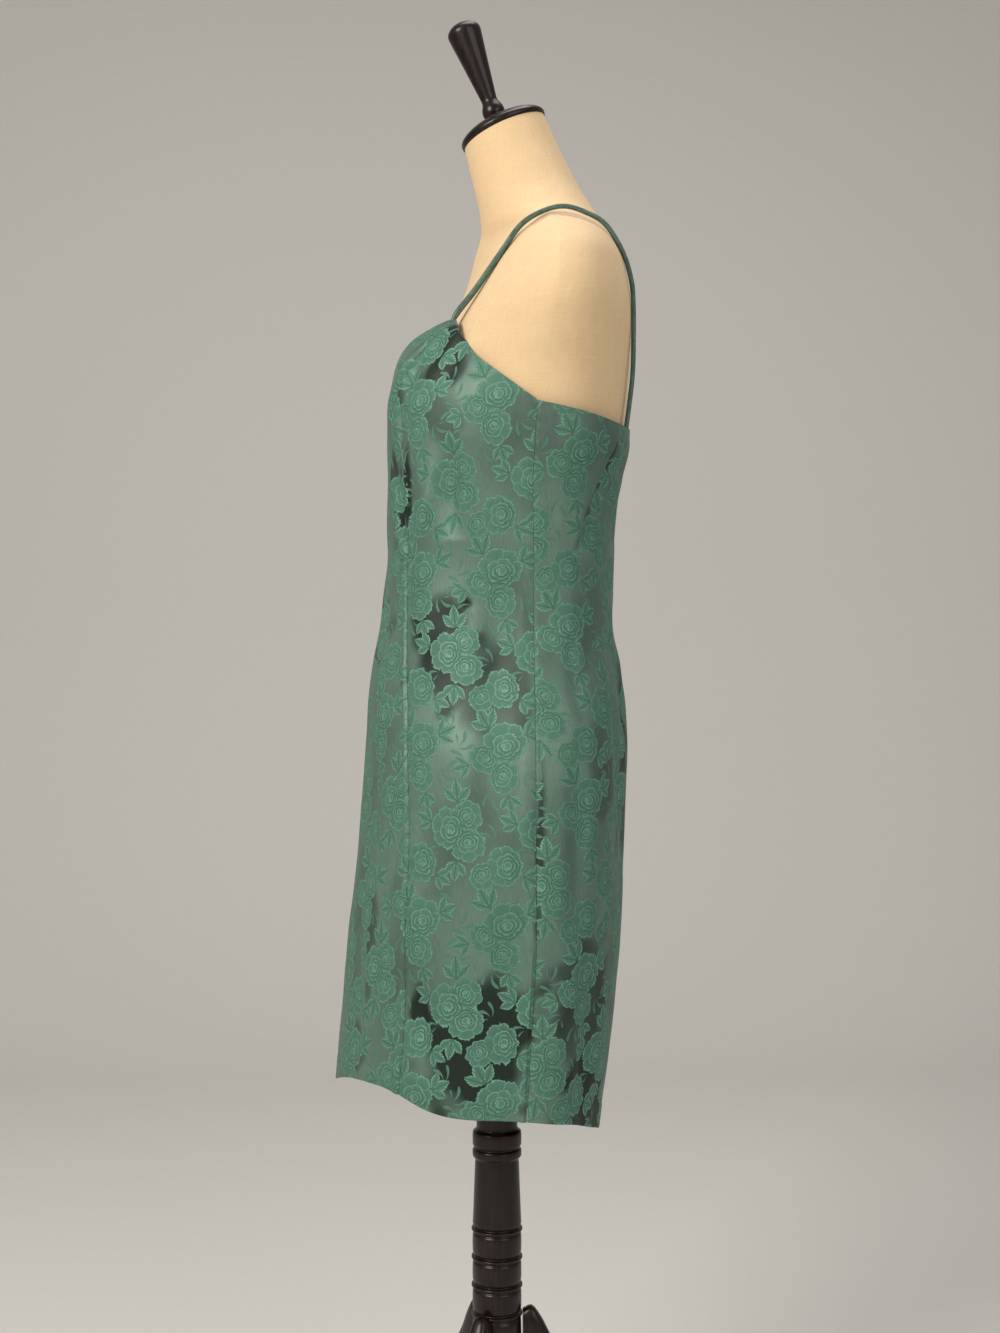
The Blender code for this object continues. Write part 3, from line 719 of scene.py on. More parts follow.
satin = {
    "repeat": (83.0, 159.0),  # the woven repeat, mm
    "groundDark": "#18261F",
    # the pale ground colour is a painted sheen over the dark satin
    "groundPaintedSheen": "#5E786C",
    "figure": "#527D6C",
    "figureLight": "#749F8C",
    "figureOutline": "#385C4E",
    "groundRoughness": 0.44,
    "figureRoughness": 0.60,
    "strapDark": "#33473D",
    # the strap's pale colour is a painted sheen
    "strapPaintedSheen": "#5E776A",
    "strapRoughness": 0.42,
    "warpPitch": 0.9,  # real warp is 0.1 mm; drawn coarse so that it shows
    "ribPitch": 1.3,  # real weft ribs are 0.4 mm; drawn coarse so that they show
    # roses: place and half sizes in mm, turn in degrees
    "roses": (
        (30, 124, 22.0, 19.5, 20),
        (10, 109, 15.5, 13.5, 140),
        (29, 93, 17.0, 15.5, 250),
        (58, 47, 20.5, 18.5, 75),
        (78, 58, 15.5, 14.0, 310),
        (77, 31, 18.0, 15.5, 190),
        (28, 14, 19.5, 17.5, 100),
        (9, 5, 14.0, 12.5, 215),
    ),
    # sprays of three leaves: foot in mm, turn of the middle leaf in degrees, leaf length in mm
    "sprays": (
        (16, 137, 122, 23),
        (49, 130, 25, 20),
        (33, 77, 285, 18),
        (-4, 104, 195, 17),
        (68, 70, 95, 22),
        (40, 52, 160, 19),
        (66, 17, 262, 20),
        (45, 4, 335, 18),
    ),
    "leafFan": 44,  # degrees between the leaves of a spray
    # curled fronds: place and reach in mm, turn in degrees
    "fronds": (
        (66, 108, 11, 75),
        (58, 145, 10, 20),
        (76, 125, 10, -60),
        (17, 70, 11, 165),
        (12, 42, 10, 40),
        (44, 30, 9, 65),
        (55, 92, 10, 200),
        (78, 85, 9, 120),
    ),
}


def nearestSpot(tree, flat, spots):
    # of several places that repeat with the cloth, the one the point is relatively nearest to:
    # its own coordinates, 1 at its rim, and its distance
    width, height = satin["repeat"]
    best = reach = None
    for x, y, halfLength, halfWidth, turn in spots:
        high = (x + width / 2, y + height / 2, 1)
        low = (x - width / 2, y - height / 2, -1)
        wrapped = vectorMaths(tree, "WRAP", flat, high, low)
        own = addNode(
            tree, "Mapping", wrapped, (x, y, 0), (0, 0, radians(turn)), (halfLength, halfWidth, 1),
            vector_type="TEXTURE",
        )
        away = vectorMaths(tree, "LENGTH", own).outputs["Value"]
        if best is None:
            best, reach = own, away
            continue
        nearer = maths(tree, "LESS_THAN", away, reach)
        best = addNode(tree, "Mix", nearer, None, None, None, best, own, data_type="VECTOR").outputs[1]
        reach = maths(tree, "MINIMUM", away, reach)
    return best, reach


def shadeRamp(tree, value, *stops):
    # grey ramp through (place, grey) stops
    ramp = addNode(tree, "ValToRGB", value)
    elements = ramp.color_ramp.elements
    while len(elements) < len(stops):
        elements.new(0.5)
    for element, (place, grey) in zip(elements, stops):
        element.position = place
        element.color = (grey, grey, grey, 1)
    return ramp


def drawRoses(tree, flat):
    # rings of petals: each ring's rim is R * (1 - s + s * |cos(n * bent angle / 2 + phase)|^0.55)
    # about a middle that moves further off ring by ring; a petal has a light rim and fades
    # inwards, and the ring below lies in shade along the side the rose leans to
    own, reach = nearestSpot(tree, flat, satin["roses"])
    split = addNode(tree, "SeparateXYZ", own)
    angle = maths(tree, "ARCTAN2", split.outputs[1], split.outputs[0])
    ruffle = noise(tree, flat, 0.34, 2.0)
    ruffle = maths(tree, "MULTIPLY_ADD", ruffle, 0.34, 0.83)
    radius = maths(tree, "MULTIPLY", reach, ruffle)
    turned = maths(tree, "ADD", angle, 1.7)
    bend = maths(tree, "SINE", turned)
    angle = maths(tree, "MULTIPLY_ADD", bend, 0.30, angle)
    lean = maths(tree, "COSINE", turned)
    dusk = maths(tree, "MULTIPLY_ADD", lean, 0.45, 0.50)
    shade = mask = None
    for rim, petals, phase, scallop, shift, notch in (
        (0.97, 8, 0.2, 0.15, 0.0, 0.36),
        (0.62, 5, 0.9, 0.20, 0.13, 0.24),
        (0.38, 4, 0.3, 0.22, 0.20, 0.16),
        (0.19, 2, 1.1, 0.30, 0.22, 0.10),
    ):
        bow = maths(tree, "MULTIPLY_ADD", angle, petals / 2, phase)
        bow = maths(tree, "ABSOLUTE", maths(tree, "COSINE", bow))
        bow = maths(tree, "POWER", bow, 0.55)
        edge = maths(tree, "MULTIPLY_ADD", bow, rim * scallop, rim * (1 - scallop))
        edge = maths(tree, "MULTIPLY_ADD", lean, shift, edge)
        inside = maths(tree, "SUBTRACT", edge, radius)
        within = maths(tree, "GREATER_THAN", inside, 0.0)
        depth = maths(tree, "MINIMUM", inside, maths(tree, "MULTIPLY", bow, notch))
        petal = maths(tree, "MULTIPLY", depth, 3.0)
        petal = shadeRamp(
            tree, petal, (0.0, 0.42), (0.06, 0.60), (0.11, 1.0), (0.19, 0.96), (0.30, 0.72), (1.0, 0.58)
        )
        if mask is None:
            mask, shade = within, petal
            continue
        hollow = maths(tree, "MULTIPLY", inside, -7.0)
        hollow = shadeRamp(tree, hollow, (0.0, 0.10), (0.25, 0.22), (0.55, 0.8), (0.9, 1.0))
        shade = mixed(tree, dusk, shade, mixed(tree, 1.0, shade, hollow, blend_type="MULTIPLY"))
        shade = mixed(tree, within, shade, petal)
    return mask, shade


def drawLeaves(tree, flat):
    # sprays of three about a foot: the angle is folded onto the nearest leaf, whose outline is
    # |v| < 0.92 - |u|^1.7 with a saw edge, u along it and v across; dark midrib, slanting veins
    # and a light rim
    own, reach = nearestSpot(tree, flat, [(x, y, size, size, turn) for x, y, turn, size in satin["sprays"]])
    split = addNode(tree, "SeparateXYZ", own)
    angle = maths(tree, "ARCTAN2", split.outputs[1], split.outputs[0])
    fan = radians(satin["leafFan"])
    leaf = maths(tree, "ROUND", maths(tree, "MULTIPLY", angle, 1 / fan))
    leaf = maths(tree, "MAXIMUM", maths(tree, "MINIMUM", leaf, 1.0), -1.0)
    angle = maths(tree, "MULTIPLY_ADD", leaf, -fan, angle)
    side = maths(tree, "ABSOLUTE", leaf)
    stretch = maths(tree, "MULTIPLY_ADD", side, 0.35, 2.0)
    reach = maths(tree, "MULTIPLY", reach, stretch)
    along = maths(tree, "MULTIPLY", maths(tree, "COSINE", angle), reach)
    along = maths(tree, "SUBTRACT", along, 1.0)
    away = maths(tree, "MULTIPLY", maths(tree, "SINE", angle), reach)
    away = maths(tree, "ABSOLUTE", maths(tree, "MULTIPLY", away, 1.9))
    taper = maths(tree, "POWER", maths(tree, "ABSOLUTE", along), 1.7)
    saw = maths(tree, "FRACT", maths(tree, "MULTIPLY", along, 3.2))
    edge = maths(tree, "SUBTRACT", 0.92, taper)
    edge = maths(tree, "MULTIPLY_ADD", saw, 0.16, edge)
    inside = maths(tree, "SUBTRACT", edge, away)
    mask = maths(tree, "GREATER_THAN", inside, 0.0)
    slant = maths(tree, "MULTIPLY_ADD", away, -0.55, along)
    slant = maths(tree, "MULTIPLY", slant, 17.0)
    veins = maths(tree, "SINE", slant)
    veins = shadeRamp(tree, maths(tree, "MULTIPLY_ADD", veins, 0.5, 0.5), (0.0, 0.78), (0.4, 1.0))
    rib = shadeRamp(tree, away, (0.06, 0.25), (0.16, 1.0))
    rim = shadeRamp(tree, inside, (0.0, 0.6), (0.08, 1.0), (0.22, 1.0), (0.45, 0.74))
    shade = mixed(tree, 1.0, veins, rib, blend_type="MULTIPLY")
    return mask, mixed(tree, 1.0, shade, rim, blend_type="MULTIPLY")


def drawFronds(tree, flat):
    # comma strokes fanned about a foot: cos(6.5 * (angle + 0.55 * distance)) above a width that
    # swells at the stroke's head
    own, reach = nearestSpot(tree, flat, [(x, y, r, r, turn) for x, y, r, turn in satin["fronds"]])
    foot = vectorMaths(tree, "ADD", own, (0, 0.85, 0))
    split = addNode(tree, "SeparateXYZ", foot)
    angle = maths(tree, "ARCTAN2", split.outputs[0], split.outputs[1])
    far = vectorMaths(tree, "LENGTH", foot).outputs["Value"]
    curl = maths(tree, "MULTIPLY_ADD", far, 0.55, angle)
    comb = maths(tree, "COSINE", maths(tree, "MULTIPLY_ADD", curl, 6.5, -2.2))
    width = maths(tree, "MULTIPLY", far, 0.5)
    width = shadeRamp(tree, width, (0.12, 1.0), (0.2, 0.85), (0.60, 0.42), (0.78, 1.0))
    over = maths(tree, "GREATER_THAN", comb, width)
    fan = maths(tree, "COMPARE", curl, 0.35, 1.05)
    near = maths(tree, "LESS_THAN", reach, 1.0)
    mask = maths(tree, "MULTIPLY", over, fan)
    mask = maths(tree, "MULTIPLY", mask, near)
    return mask, shadeRamp(tree, comb, (0.3, 0.45), (0.9, 0.75))


def roseJacquardSatin():
    # silk satin figured on a jacquard loom: the ground is all warp floats, dark and shining in
    # long soft highlights; the roses are weft, duller, lighter and half a thread proud
    # the ground's pale sheen and its shade in fold hollows are painted into its colour from a per-point
    # attribute
    material, tree = newMaterial("roseJacquardSatin")
    flat = clothPlace(tree)
    drift = addNode(tree, "TexNoise", flat, Scale=0.02, Detail=1.0)
    drift = vectorMaths(tree, "SUBTRACT", drift.outputs["Color"], (0.5, 0.5, 0.5))
    drift = vectorMaths(tree, "MULTIPLY", drift, (5.0, 5.0, 0.0))
    flat = vectorMaths(tree, "ADD", flat, drift)
    frondMask, frondShade = drawFronds(tree, flat)
    leafMask, leafShade = drawLeaves(tree, flat)
    roseMask, roseShade = drawRoses(tree, flat)
    shade = mixed(tree, leafMask, frondShade, leafShade)
    shade = mixed(tree, roseMask, shade, roseShade)
    mask = maths(tree, "MAXIMUM", frondMask, leafMask)
    mask = maths(tree, "MAXIMUM", mask, roseMask)

    # warp floats: noise drawn out 12 times down the cloth
    threads = vectorMaths(tree, "MULTIPLY", flat, (1 / satin["warpPitch"], 0.08 / satin["warpPitch"], 0))
    threads = noise(tree, threads, 1.0, 2.0)
    split = addNode(tree, "SeparateXYZ", flat)
    ribs = maths(tree, "MULTIPLY", split.outputs[1], 2 * pi / satin["ribPitch"])
    ribs = maths(tree, "SINE", ribs)
    # 0 in painted shade, 1 in the full pale painted sheen
    tone = addNode(tree, "Attribute", attribute_name="paintedSheenAndShade").outputs["Fac"]
    speckle = noise(tree, flat, 0.9, 2.0)

    # the ground's colour: its own dark green in painted shade, the pale painted sheen elsewhere
    ground = mixed(tree, tone, srgb(satin["groundDark"]), srgb(satin["groundPaintedSheen"]))
    ground = mixed(tree, 0.25, ground, threads, blend_type="OVERLAY")
    figure = mixed(tree, shade, srgb(satin["figureOutline"]), srgb(satin["figure"]))
    # the light petal rims stand out where the ground is in painted shade and sink into its pale painted sheen
    bright = shadeRamp(tree, shade, (0.80, 0.0), (0.98, 0.85))
    bright = maths(tree, "MULTIPLY", bright, maths(tree, "MULTIPLY_ADD", tone, -0.5, 1.0))
    figure = mixed(tree, bright, figure, srgb(satin["figureLight"]))
    figure = mixed(tree, 0.35, figure, speckle, blend_type="OVERLAY")
    colour = mixed(tree, mask, ground, figure)
    gloss = satin["figureRoughness"] - satin["groundRoughness"]
    rough = maths(tree, "MULTIPLY_ADD", mask, gloss, satin["groundRoughness"])
    rough = maths(tree, "MULTIPLY_ADD", threads, 0.12, rough)

    relief = maths(tree, "MULTIPLY_ADD", shade, 0.35, 0.55)
    relief = maths(tree, "MULTIPLY", relief, mask)
    relief = maths(tree, "MULTIPLY_ADD", threads, 0.35, relief)
    ribbed = maths(tree, "MULTIPLY", ribs, mask)
    relief = maths(tree, "MULTIPLY_ADD", ribbed, 0.08, relief)
    bump = raised(tree, 0.7, 0.00022, relief)
    return finished(
        material, tree, Base_Color=colour, Roughness=rough, Normal=bump, IOR=1.4,
        Metallic=0.25, Sheen_Weight=0.03, Sheen_Roughness=0.4, Anisotropic=0.4,
    )


def strapSatin():
    # the same satin cut narrow and rolled: all ground, in random patches from the dark satin to a
    # pale painted sheen
    material, tree = newMaterial("rolledSatinStrap")
    flat = clothPlace(tree)
    threads = vectorMaths(tree, "MULTIPLY", flat, (1.6, 0.25, 0))
    threads = noise(tree, threads, 1.0, 2.0)
    patch = noise(tree, vectorMaths(tree, "MULTIPLY", flat, (0.1, 0.06, 0)), 1.0, 2.0)
    tone = maths(tree, "MULTIPLY_ADD", patch, 0.8, threads)
    tone = addNode(tree, "MapRange", tone, 0.65, 1.1, 0.0, 1.0)
    # random patches from the dark satin to a pale painted sheen
    colour = mixed(tree, tone, srgb(satin["strapDark"]), srgb(satin["strapPaintedSheen"]))
    bump = raised(tree, 0.6, 0.0002, threads)
    return finished(
        material, tree, Base_Color=colour, Roughness=satin["strapRoughness"], Normal=bump, IOR=1.4,
        Metallic=0.3, Sheen_Weight=0.03,
    )


lining = {"dark": "#0D1A15", "light": "#1B3028", "threadsPerMetre": 1400.0, "roughness": 0.45}


def plainLining():
    # acetate lining: plain fine weave, evenly dark green with a low shine
    material, tree = newMaterial("plainGreenLining")
    uv = addNode(tree, "UVMap", uv_map="clothUv")
    threads = vectorMaths(tree, "MULTIPLY", uv, (lining["threadsPerMetre"], lining["threadsPerMetre"], 0))
    threads = noise(tree, threads, 1.0, 1.0)
    colour = mixed(tree, threads, srgb(lining["dark"]), srgb(lining["light"]))
    bump = raised(tree, 0.4, 0.0001, threads)
    return finished(material, tree, Base_Color=colour, Roughness=lining["roughness"], Normal=bump, IOR=1.5)


linen = {
    "light": "#E0C49D",
    "dark": "#D3B487",
    "thread": 1.1,  # real threads are 0.5 mm; drawn coarse so that they show
    "roughness": 0.85,
}


def unbleachedLinen():
    # plain-woven flax stretched over the form: matt, warm, with thicker slubs both ways
    material, tree = newMaterial("unbleachedLinen")
    flat = clothPlace(tree)
    split = addNode(tree, "SeparateXYZ", flat)
    waves = []
    for axis in (0, 1):
        wave = maths(tree, "MULTIPLY", split.outputs[axis], pi / linen["thread"])
        waves.append(maths(tree, "SINE", wave))
    weave = maths(tree, "MULTIPLY", waves[0], waves[1])
    slubs = []
    for stretch in ((0.05, 0.9, 0), (0.9, 0.05, 0)):
        drawn = vectorMaths(tree, "MULTIPLY", flat, stretch)
        slubs.append(noise(tree, drawn, 1.0, 3.0))
    slub = maths(tree, "ADD", slubs[0], slubs[1])
    tone = maths(tree, "MULTIPLY_ADD", weave, 0.05, slub)
    tone = addNode(tree, "MapRange", tone, 0.6, 1.4, 0.0, 1.0)
    colour = mixed(tree, tone, srgb(linen["dark"]), srgb(linen["light"]))
    relief = maths(tree, "MULTIPLY_ADD", weave, 0.4, slub)
    bump = raised(tree, 0.5, 0.00025, relief)
    return finished(
        material, tree, Base_Color=colour, Roughness=linen["roughness"], Normal=bump,
        Sheen_Weight=0.05, Sheen_Roughness=0.6,
    )


wood = {
    "dark": "#0C0604",
    "light": "#1E100A",
    "roughness": 0.30,
    "grainScale": 900.0,
    "grainStretch": 0.06,
    "mapRadius": 0.02,
}


def stainedBeech(name, angles):
    # turned beech, stained nearly black and varnished: faint red-brown grain under a gloss coat
    material, tree = newMaterial(name)
    place = addNode(tree, "TexCoord").outputs["Object"]
    fine = wood["grainScale"]
    turned = addNode(tree, "Mapping", place, Rotation=angles, Scale=(fine, fine, fine * wood["grainStretch"]))
    grain = noise(tree, turned, 0.35, 4.0, Roughness=0.6)
    pores = noise(tree, turned, 1.6, 2.0)
    tone = shadeRamp(tree, grain, (0.38, 0.0), (0.62, 1.0))
    colour = mixed(tree, tone, srgb(wood["dark"]), srgb(wood["light"]))
    rough = maths(tree, "MULTIPLY_ADD", grain, 0.2, wood["roughness"])
    bump = raised(tree, 0.15, 0.0002, pores)
    return finished(
        material, tree, Base_Color=colour, Roughness=rough, Normal=bump, IOR=1.3,
        Coat_Weight=0.25, Coat_Roughness=0.15,
    )


satinCloth = roseJacquardSatin()
strapCloth = strapSatin()
liningCloth = plainLining()
linenCover = unbleachedLinen()
uprightWood = stainedBeech("darkStainedBeech", (0, 0, 0))
print("materials made")


# The dress: five panels, their seam allowances and two straps. Each row is a piece, its two seams,
# their sides, the kind of panel, grid columns, a seed and the CAD node.
panels = (
    ("panel_centre_front", ("princess", "princess"), (-1, 1), "centre", 118, 3, "centre_front"),
    ("panel_side_front_left", ("princess", "side"), (1, 1), "side", 44, 11, "side_front_left"),
    ("panel_side_front_right", ("side", "princess"), (-1, -1), "side", 44, 19, "side_front_right"),
    ("panel_back_left", ("side", "back"), (1, 1), "back", 76, 27, "back_left"),
    ("panel_back_right", ("back", "side"), (-1, -1), "back", 76, 35, "back_right"),
)
# The seam allowances behind each panel: each a label, its seam and the side it lies on.
allowances = {
    "panel_centre_front": (("princess_left", "princess", 1), ("princess_right", "princess", -1)),
    "panel_side_front_left": (("side_left", "side", 1),),
    "panel_side_front_right": (("side_right", "side", -1),),
    "panel_back_left": (("centre_back", "back", 1),),
    "panel_back_right": (),
}
for name, seams, place, panel, columns, seed, node in panels:
    piece = clothPanel(name, seams, place, panel, columns, seed, [satinCloth, liningCloth], node)
    tapes = [seamTape("allowance_" + label, seam, side) for label, seam, side in allowances[name]]
print("panels made")

strapRows = tableOf(
    "order x y z",
    (0, 0.0976, -0.0412, 1.2135),
    (1, 0.0987, -0.0434, 1.2225),
    (2, 0.0975, -0.0217, 1.2517),
    (3, 0.0960, 0.0017, 1.2862),
    (4, 0.0975, 0.0192, 1.3104),
    (5, 0.0990, 0.0394, 1.3232),
    (6, 0.1000, 0.0600, 1.3279),
    (7, 0.0990, 0.0807, 1.3225),
    (8, 0.0970, 0.0996, 1.3115),
    (9, 0.0940, 0.1162, 1.2860),
    (10, 0.0900, 0.1247, 1.2602),
    (11, 0.0870, 0.1269, 1.2373),
    (12, 0.0840, 0.1274, 1.2060),
    (13, 0.0815, 0.1269, 1.1748),
    (14, 0.0797, 0.1245, 1.1500),
    (15, 0.0786, 0.1210, 1.1228),
    (16, 0.0781, 0.1188, 1.1130),
)
strap = {
    "width": 0.0054,
    "depth": 0.0046,
    "rings": 260,
    "corners": 24,
    "roundness": 0.85,
    "sewnFlat": 0.4,  # depth of the sewn ends, as a share of the roll's
    "frontFuller": 0.28,
    "endRound": 0.0012,
    # stretches of the line, in its rows: where the front end rises from flat, where the back end
    # goes flat, and where the fuller front thins out
    "frontSewn": (0.4, 1.2),
    "backSewn": (15.0, 15.8),
    "thinsOut": (1.5, 6),
    "ripples": ((0.03, 0.031), (0.02, 0.0127)),  # share of the width, and pitch
}


def rolledStrap(name, side, node):
    # a superellipse, width * sgn(cos) |cos|^p by depth * sgn(sin) |sin|^p, carried along a cubic
    # line; both ends are pressed flat and tucked behind the panels, and the roll is fuller
    # towards the front
    steps = np.linspace(0, strapRows["order"][-1], strap["rings"])
    line = np.stack([readTable(strapRows, "order", axis, steps) for axis in "xyz"], -1)
    along = np.gradient(line, axis=0)
    along /= np.linalg.norm(along, axis=1)[:, None]
    across = np.array([1.0, 0, 0]) - along * along[:, :1]
    across /= np.linalg.norm(across, axis=1)[:, None]
    outward = np.cross(across, along)
    free = np.minimum(smoothStep(*strap["frontSewn"], steps), 1 - smoothStep(*strap["backSewn"], steps))
    full = strap["sewnFlat"] + (1 - strap["sewnFlat"]) * free
    full = full * (1 + strap["frontFuller"] * (1 - smoothStep(*strap["thinsOut"], steps)))
    turn = np.linspace(0, 2 * pi, strap["corners"], endpoint=False)
    c, s = np.cos(turn), np.sin(turn)
    wide = strap["width"] / 2 * np.sign(c) * np.abs(c) ** strap["roundness"]
    deep = strap["depth"] / 2 * np.sign(s) * np.abs(s) ** strap["roundness"]
    length = np.concatenate([[0], np.cumsum(np.linalg.norm(np.diff(line, axis=0), axis=1))])
    toEnd = np.minimum(length, length[-1] - length)
    close = np.sqrt(np.clip(1 - (1 - np.clip(toEnd / strap["endRound"], 0, 1)) ** 2, 0.05, 1))
    ripple = 1 + sum(size * np.sin(2 * pi * length / pitch) for size, pitch in strap["ripples"])
    rings = line[:, None, :] + across[:, None, :] * (wide[None, :] * (close * ripple)[:, None])[..., None]
    rings = rings + outward[:, None, :] * (deep[None, :] * (close * full)[:, None])[..., None]
    rings[..., 0] *= side
    rings[..., 1] += poleY
    if side > 0:
        rings = rings[:, ::-1]
    points, faces = closedTube(rings)
    arc = np.repeat(length[:, None], strap["corners"], 1)
    around = np.repeat((turn * strap["width"] / 2.4)[None, :], strap["rings"], 0)
    return addPiece(name, points, faces, [strapCloth], tubeMap(around, arc), node)


for hand, side in (("left", 1), ("right", -1)):
    rolledStrap("strap_roll_" + hand, side, "strap_" + hand)
print("straps made")


# The form's torso, section by section: half width, the depth of its widest line, front and back,
# the powers of its front and back halves, and how far the section tilts forward in degrees.
formRows = tableOf(
    "height halfWidth sideY frontY backY frontPower backPower tilt",
    (1.4270, 0.045, 0.0075, -0.0355, 0.0505, 2.00, 2.0, 23),
    (1.3905, 0.048, 0.0205, -0.0263, 0.0673, 2.00, 2.0, 18),
    (1.3550, 0.059, 0.0345, -0.0180, 0.0870, 2.00, 2.0, 11),
    (1.3370, 0.074, 0.0430, -0.0160, 0.1005, 1.80, 1.9, 6),
    (1.3190, 0.103, 0.0490, -0.0175, 0.1120, 1.25, 2.0, 2),
    (1.3030, 0.140, 0.0515, -0.0215, 0.1190, 1.22, 2.1, 0),
    (1.2850, 0.166, 0.0520, -0.0260, 0.1240, 1.32, 2.2, 0),
    (1.2600, 0.181, 0.0515, -0.0340, 0.1290, 1.50, 2.2, 0),
    (1.2300, 0.185, 0.0490, -0.0500, 0.1310, 1.60, 2.3, 0),
    (1.2000, 0.174, 0.0450, -0.0670, 0.1305, 1.65, 2.3, 0),
    (1.1700, 0.161, 0.0400, -0.0820, 0.1289, 1.75, 2.3, 0),
    (1.1350, 0.154, 0.0360, -0.0890, 0.1254, 2.10, 2.3, 0),
    (1.0900, 0.147, 0.0350, -0.0860, 0.1180, 2.20, 2.3, 0),
    (1.0400, 0.137, 0.0340, -0.0800, 0.1090, 2.20, 2.2, 0),
    (0.9600, 0.124, 0.0340, -0.0730, 0.1040, 2.20, 2.2, 0),
    (0.9000, 0.138, 0.0340, -0.0840, 0.1070, 2.20, 2.2, 0),
    (0.8400, 0.158, 0.0340, -0.0980, 0.1090, 2.20, 2.2, 0),
    (0.7700, 0.172, 0.0340, -0.1060, 0.1060, 2.20, 2.2, 0),
    (0.7100, 0.171, 0.0340, -0.1040, 0.1020, 2.20, 2.2, 0),
    (0.6600, 0.158, 0.0340, -0.0920, 0.0960, 2.20, 2.2, 0),
    (0.6400, 0.136, 0.0340, -0.0720, 0.0840, 2.20, 2.2, 0),
)
form = {"rings": 300, "corners": 144}


def linenForm():
    # the form's sections one above another, each leaning forward about its own side line
    heights = np.linspace(0.640, 1.427, form["rings"])
    turn = np.linspace(0, 2 * pi, form["corners"], endpoint=False)
    turnGrid, z = np.meshgrid(turn, heights)
    folded = np.where(turnGrid <= pi, turnGrid, 2 * pi - turnGrid)
    x, y = sectionAt(formRows, folded, z)
    pivot = readTable(formRows, "height", "sideY", z)
    lean = np.radians(readTable(formRows, "height", "tilt", z))
    side = np.where(turnGrid <= pi, 1.0, -1.0)
    away = y - pivot
    rings = np.stack([x * side, pivot + away * np.cos(lean) + poleY, z + away * np.sin(lean)], -1)
    points, faces = closedTube(rings)
    around = np.hypot(np.diff(x, axis=1, append=x[:, :1]), np.diff(y, axis=1, append=y[:, :1]))
    arc = np.cumsum(around, 1)
    return addPiece("form_cover", points, faces, [linenCover], tubeMap(arc, z), "form_torso")


linenForm()
neck = {
    "tilt": radians(23),
    "topY": 0.0075,
    "topZ": 1.427,
    "halfWidth": 0.045,
    "halfDepth": 0.043,
    "capRise": 0.0153,
    "finialTilt": radians(20.5),
    "finialShift": -0.0022,
}
neckPlace = Matrix.Translation((0, neck["topY"] + poleY, neck["topZ"]))
neckPlace = neckPlace @ Matrix.Rotation(neck["tilt"], 4, "X")


def rounded(profile, passes=3):
    # corner cutting: each pass swaps a corner for two points, 0.22 of the way along its sides
    line = np.array(profile, float)
    for _ in range(passes):
        low = line[:-1] * 0.78 + line[1:] * 0.22
        high = line[:-1] * 0.22 + line[1:] * 0.78
        line = np.concatenate([line[:1], np.stack([low, high], 1).reshape(-1, 2), line[-1:]])
    return line


def lathePiece(name, profile, segments, placing, squeeze, node, passes=3):
    # a profile of (rise, radius) turned round its axis, then put in place
    line = rounded(profile, passes)
    turn = np.linspace(0, 2 * pi, segments, endpoint=False)
    x = line[:, 1:] * np.cos(turn)[None, :] * squeeze[0]
    y = line[:, 1:] * np.sin(turn)[None, :] * squeeze[1]
    z = np.repeat(line[:, :1], segments, 1)
    rings = np.stack([x, y, z, np.ones_like(x)], -1) @ np.array(placing).T
    points, faces = closedTube(rings[..., :3])
    around = np.repeat(turn[None, :], len(line), 0) * wood["mapRadius"]
    return addPiece(name, points, faces, [uprightWood], tubeMap(around, z), node)


# The cap's radii are shares of the neck's half width and half depth.
capProfile = [
    (seamGap, 1.00), (seamGap, 1.02), (0.0020, 1.04), (0.0050, 1.04), (0.008, 0.98), (0.012, 0.80),
    (0.015, 0.45), (0.0152, 0.40),
]
lathePiece("neck_cap_turned", capProfile, 72, neckPlace, (neck["halfWidth"], neck["halfDepth"]), "neck_cap")
finialProfile = [
    (0.0146, 0.0116), (0.0162, 0.0120), (0.0172, 0.0102), (0.0188, 0.0103), (0.0208, 0.0111),
    (0.0232, 0.0114), (0.0270, 0.0108), (0.0308, 0.0090), (0.0338, 0.0079), (0.0370, 0.0080),
    (0.0450, 0.0091), (0.0800, 0.0136), (0.1040, 0.0170), (0.1080, 0.0171), (0.1110, 0.0156),
    (0.1145, 0.0115), (0.1165, 0.0060), (0.1170, 0.0030),
]
# The finial leans a little less than the neck, and turns about the top of the cap.
finialFoot = neckPlace @ Vector((0, 0, neck["capRise"])) + Vector((0, neck["finialShift"], 0))
finialPlace = Matrix.Translation(finialFoot) @ Matrix.Rotation(neck["finialTilt"], 4, "X")
finialPlace = finialPlace @ Matrix.Translation((0, 0, -neck["capRise"]))
lathePiece("finial_turned", finialProfile, 48, finialPlace, (1, 1), "finial")

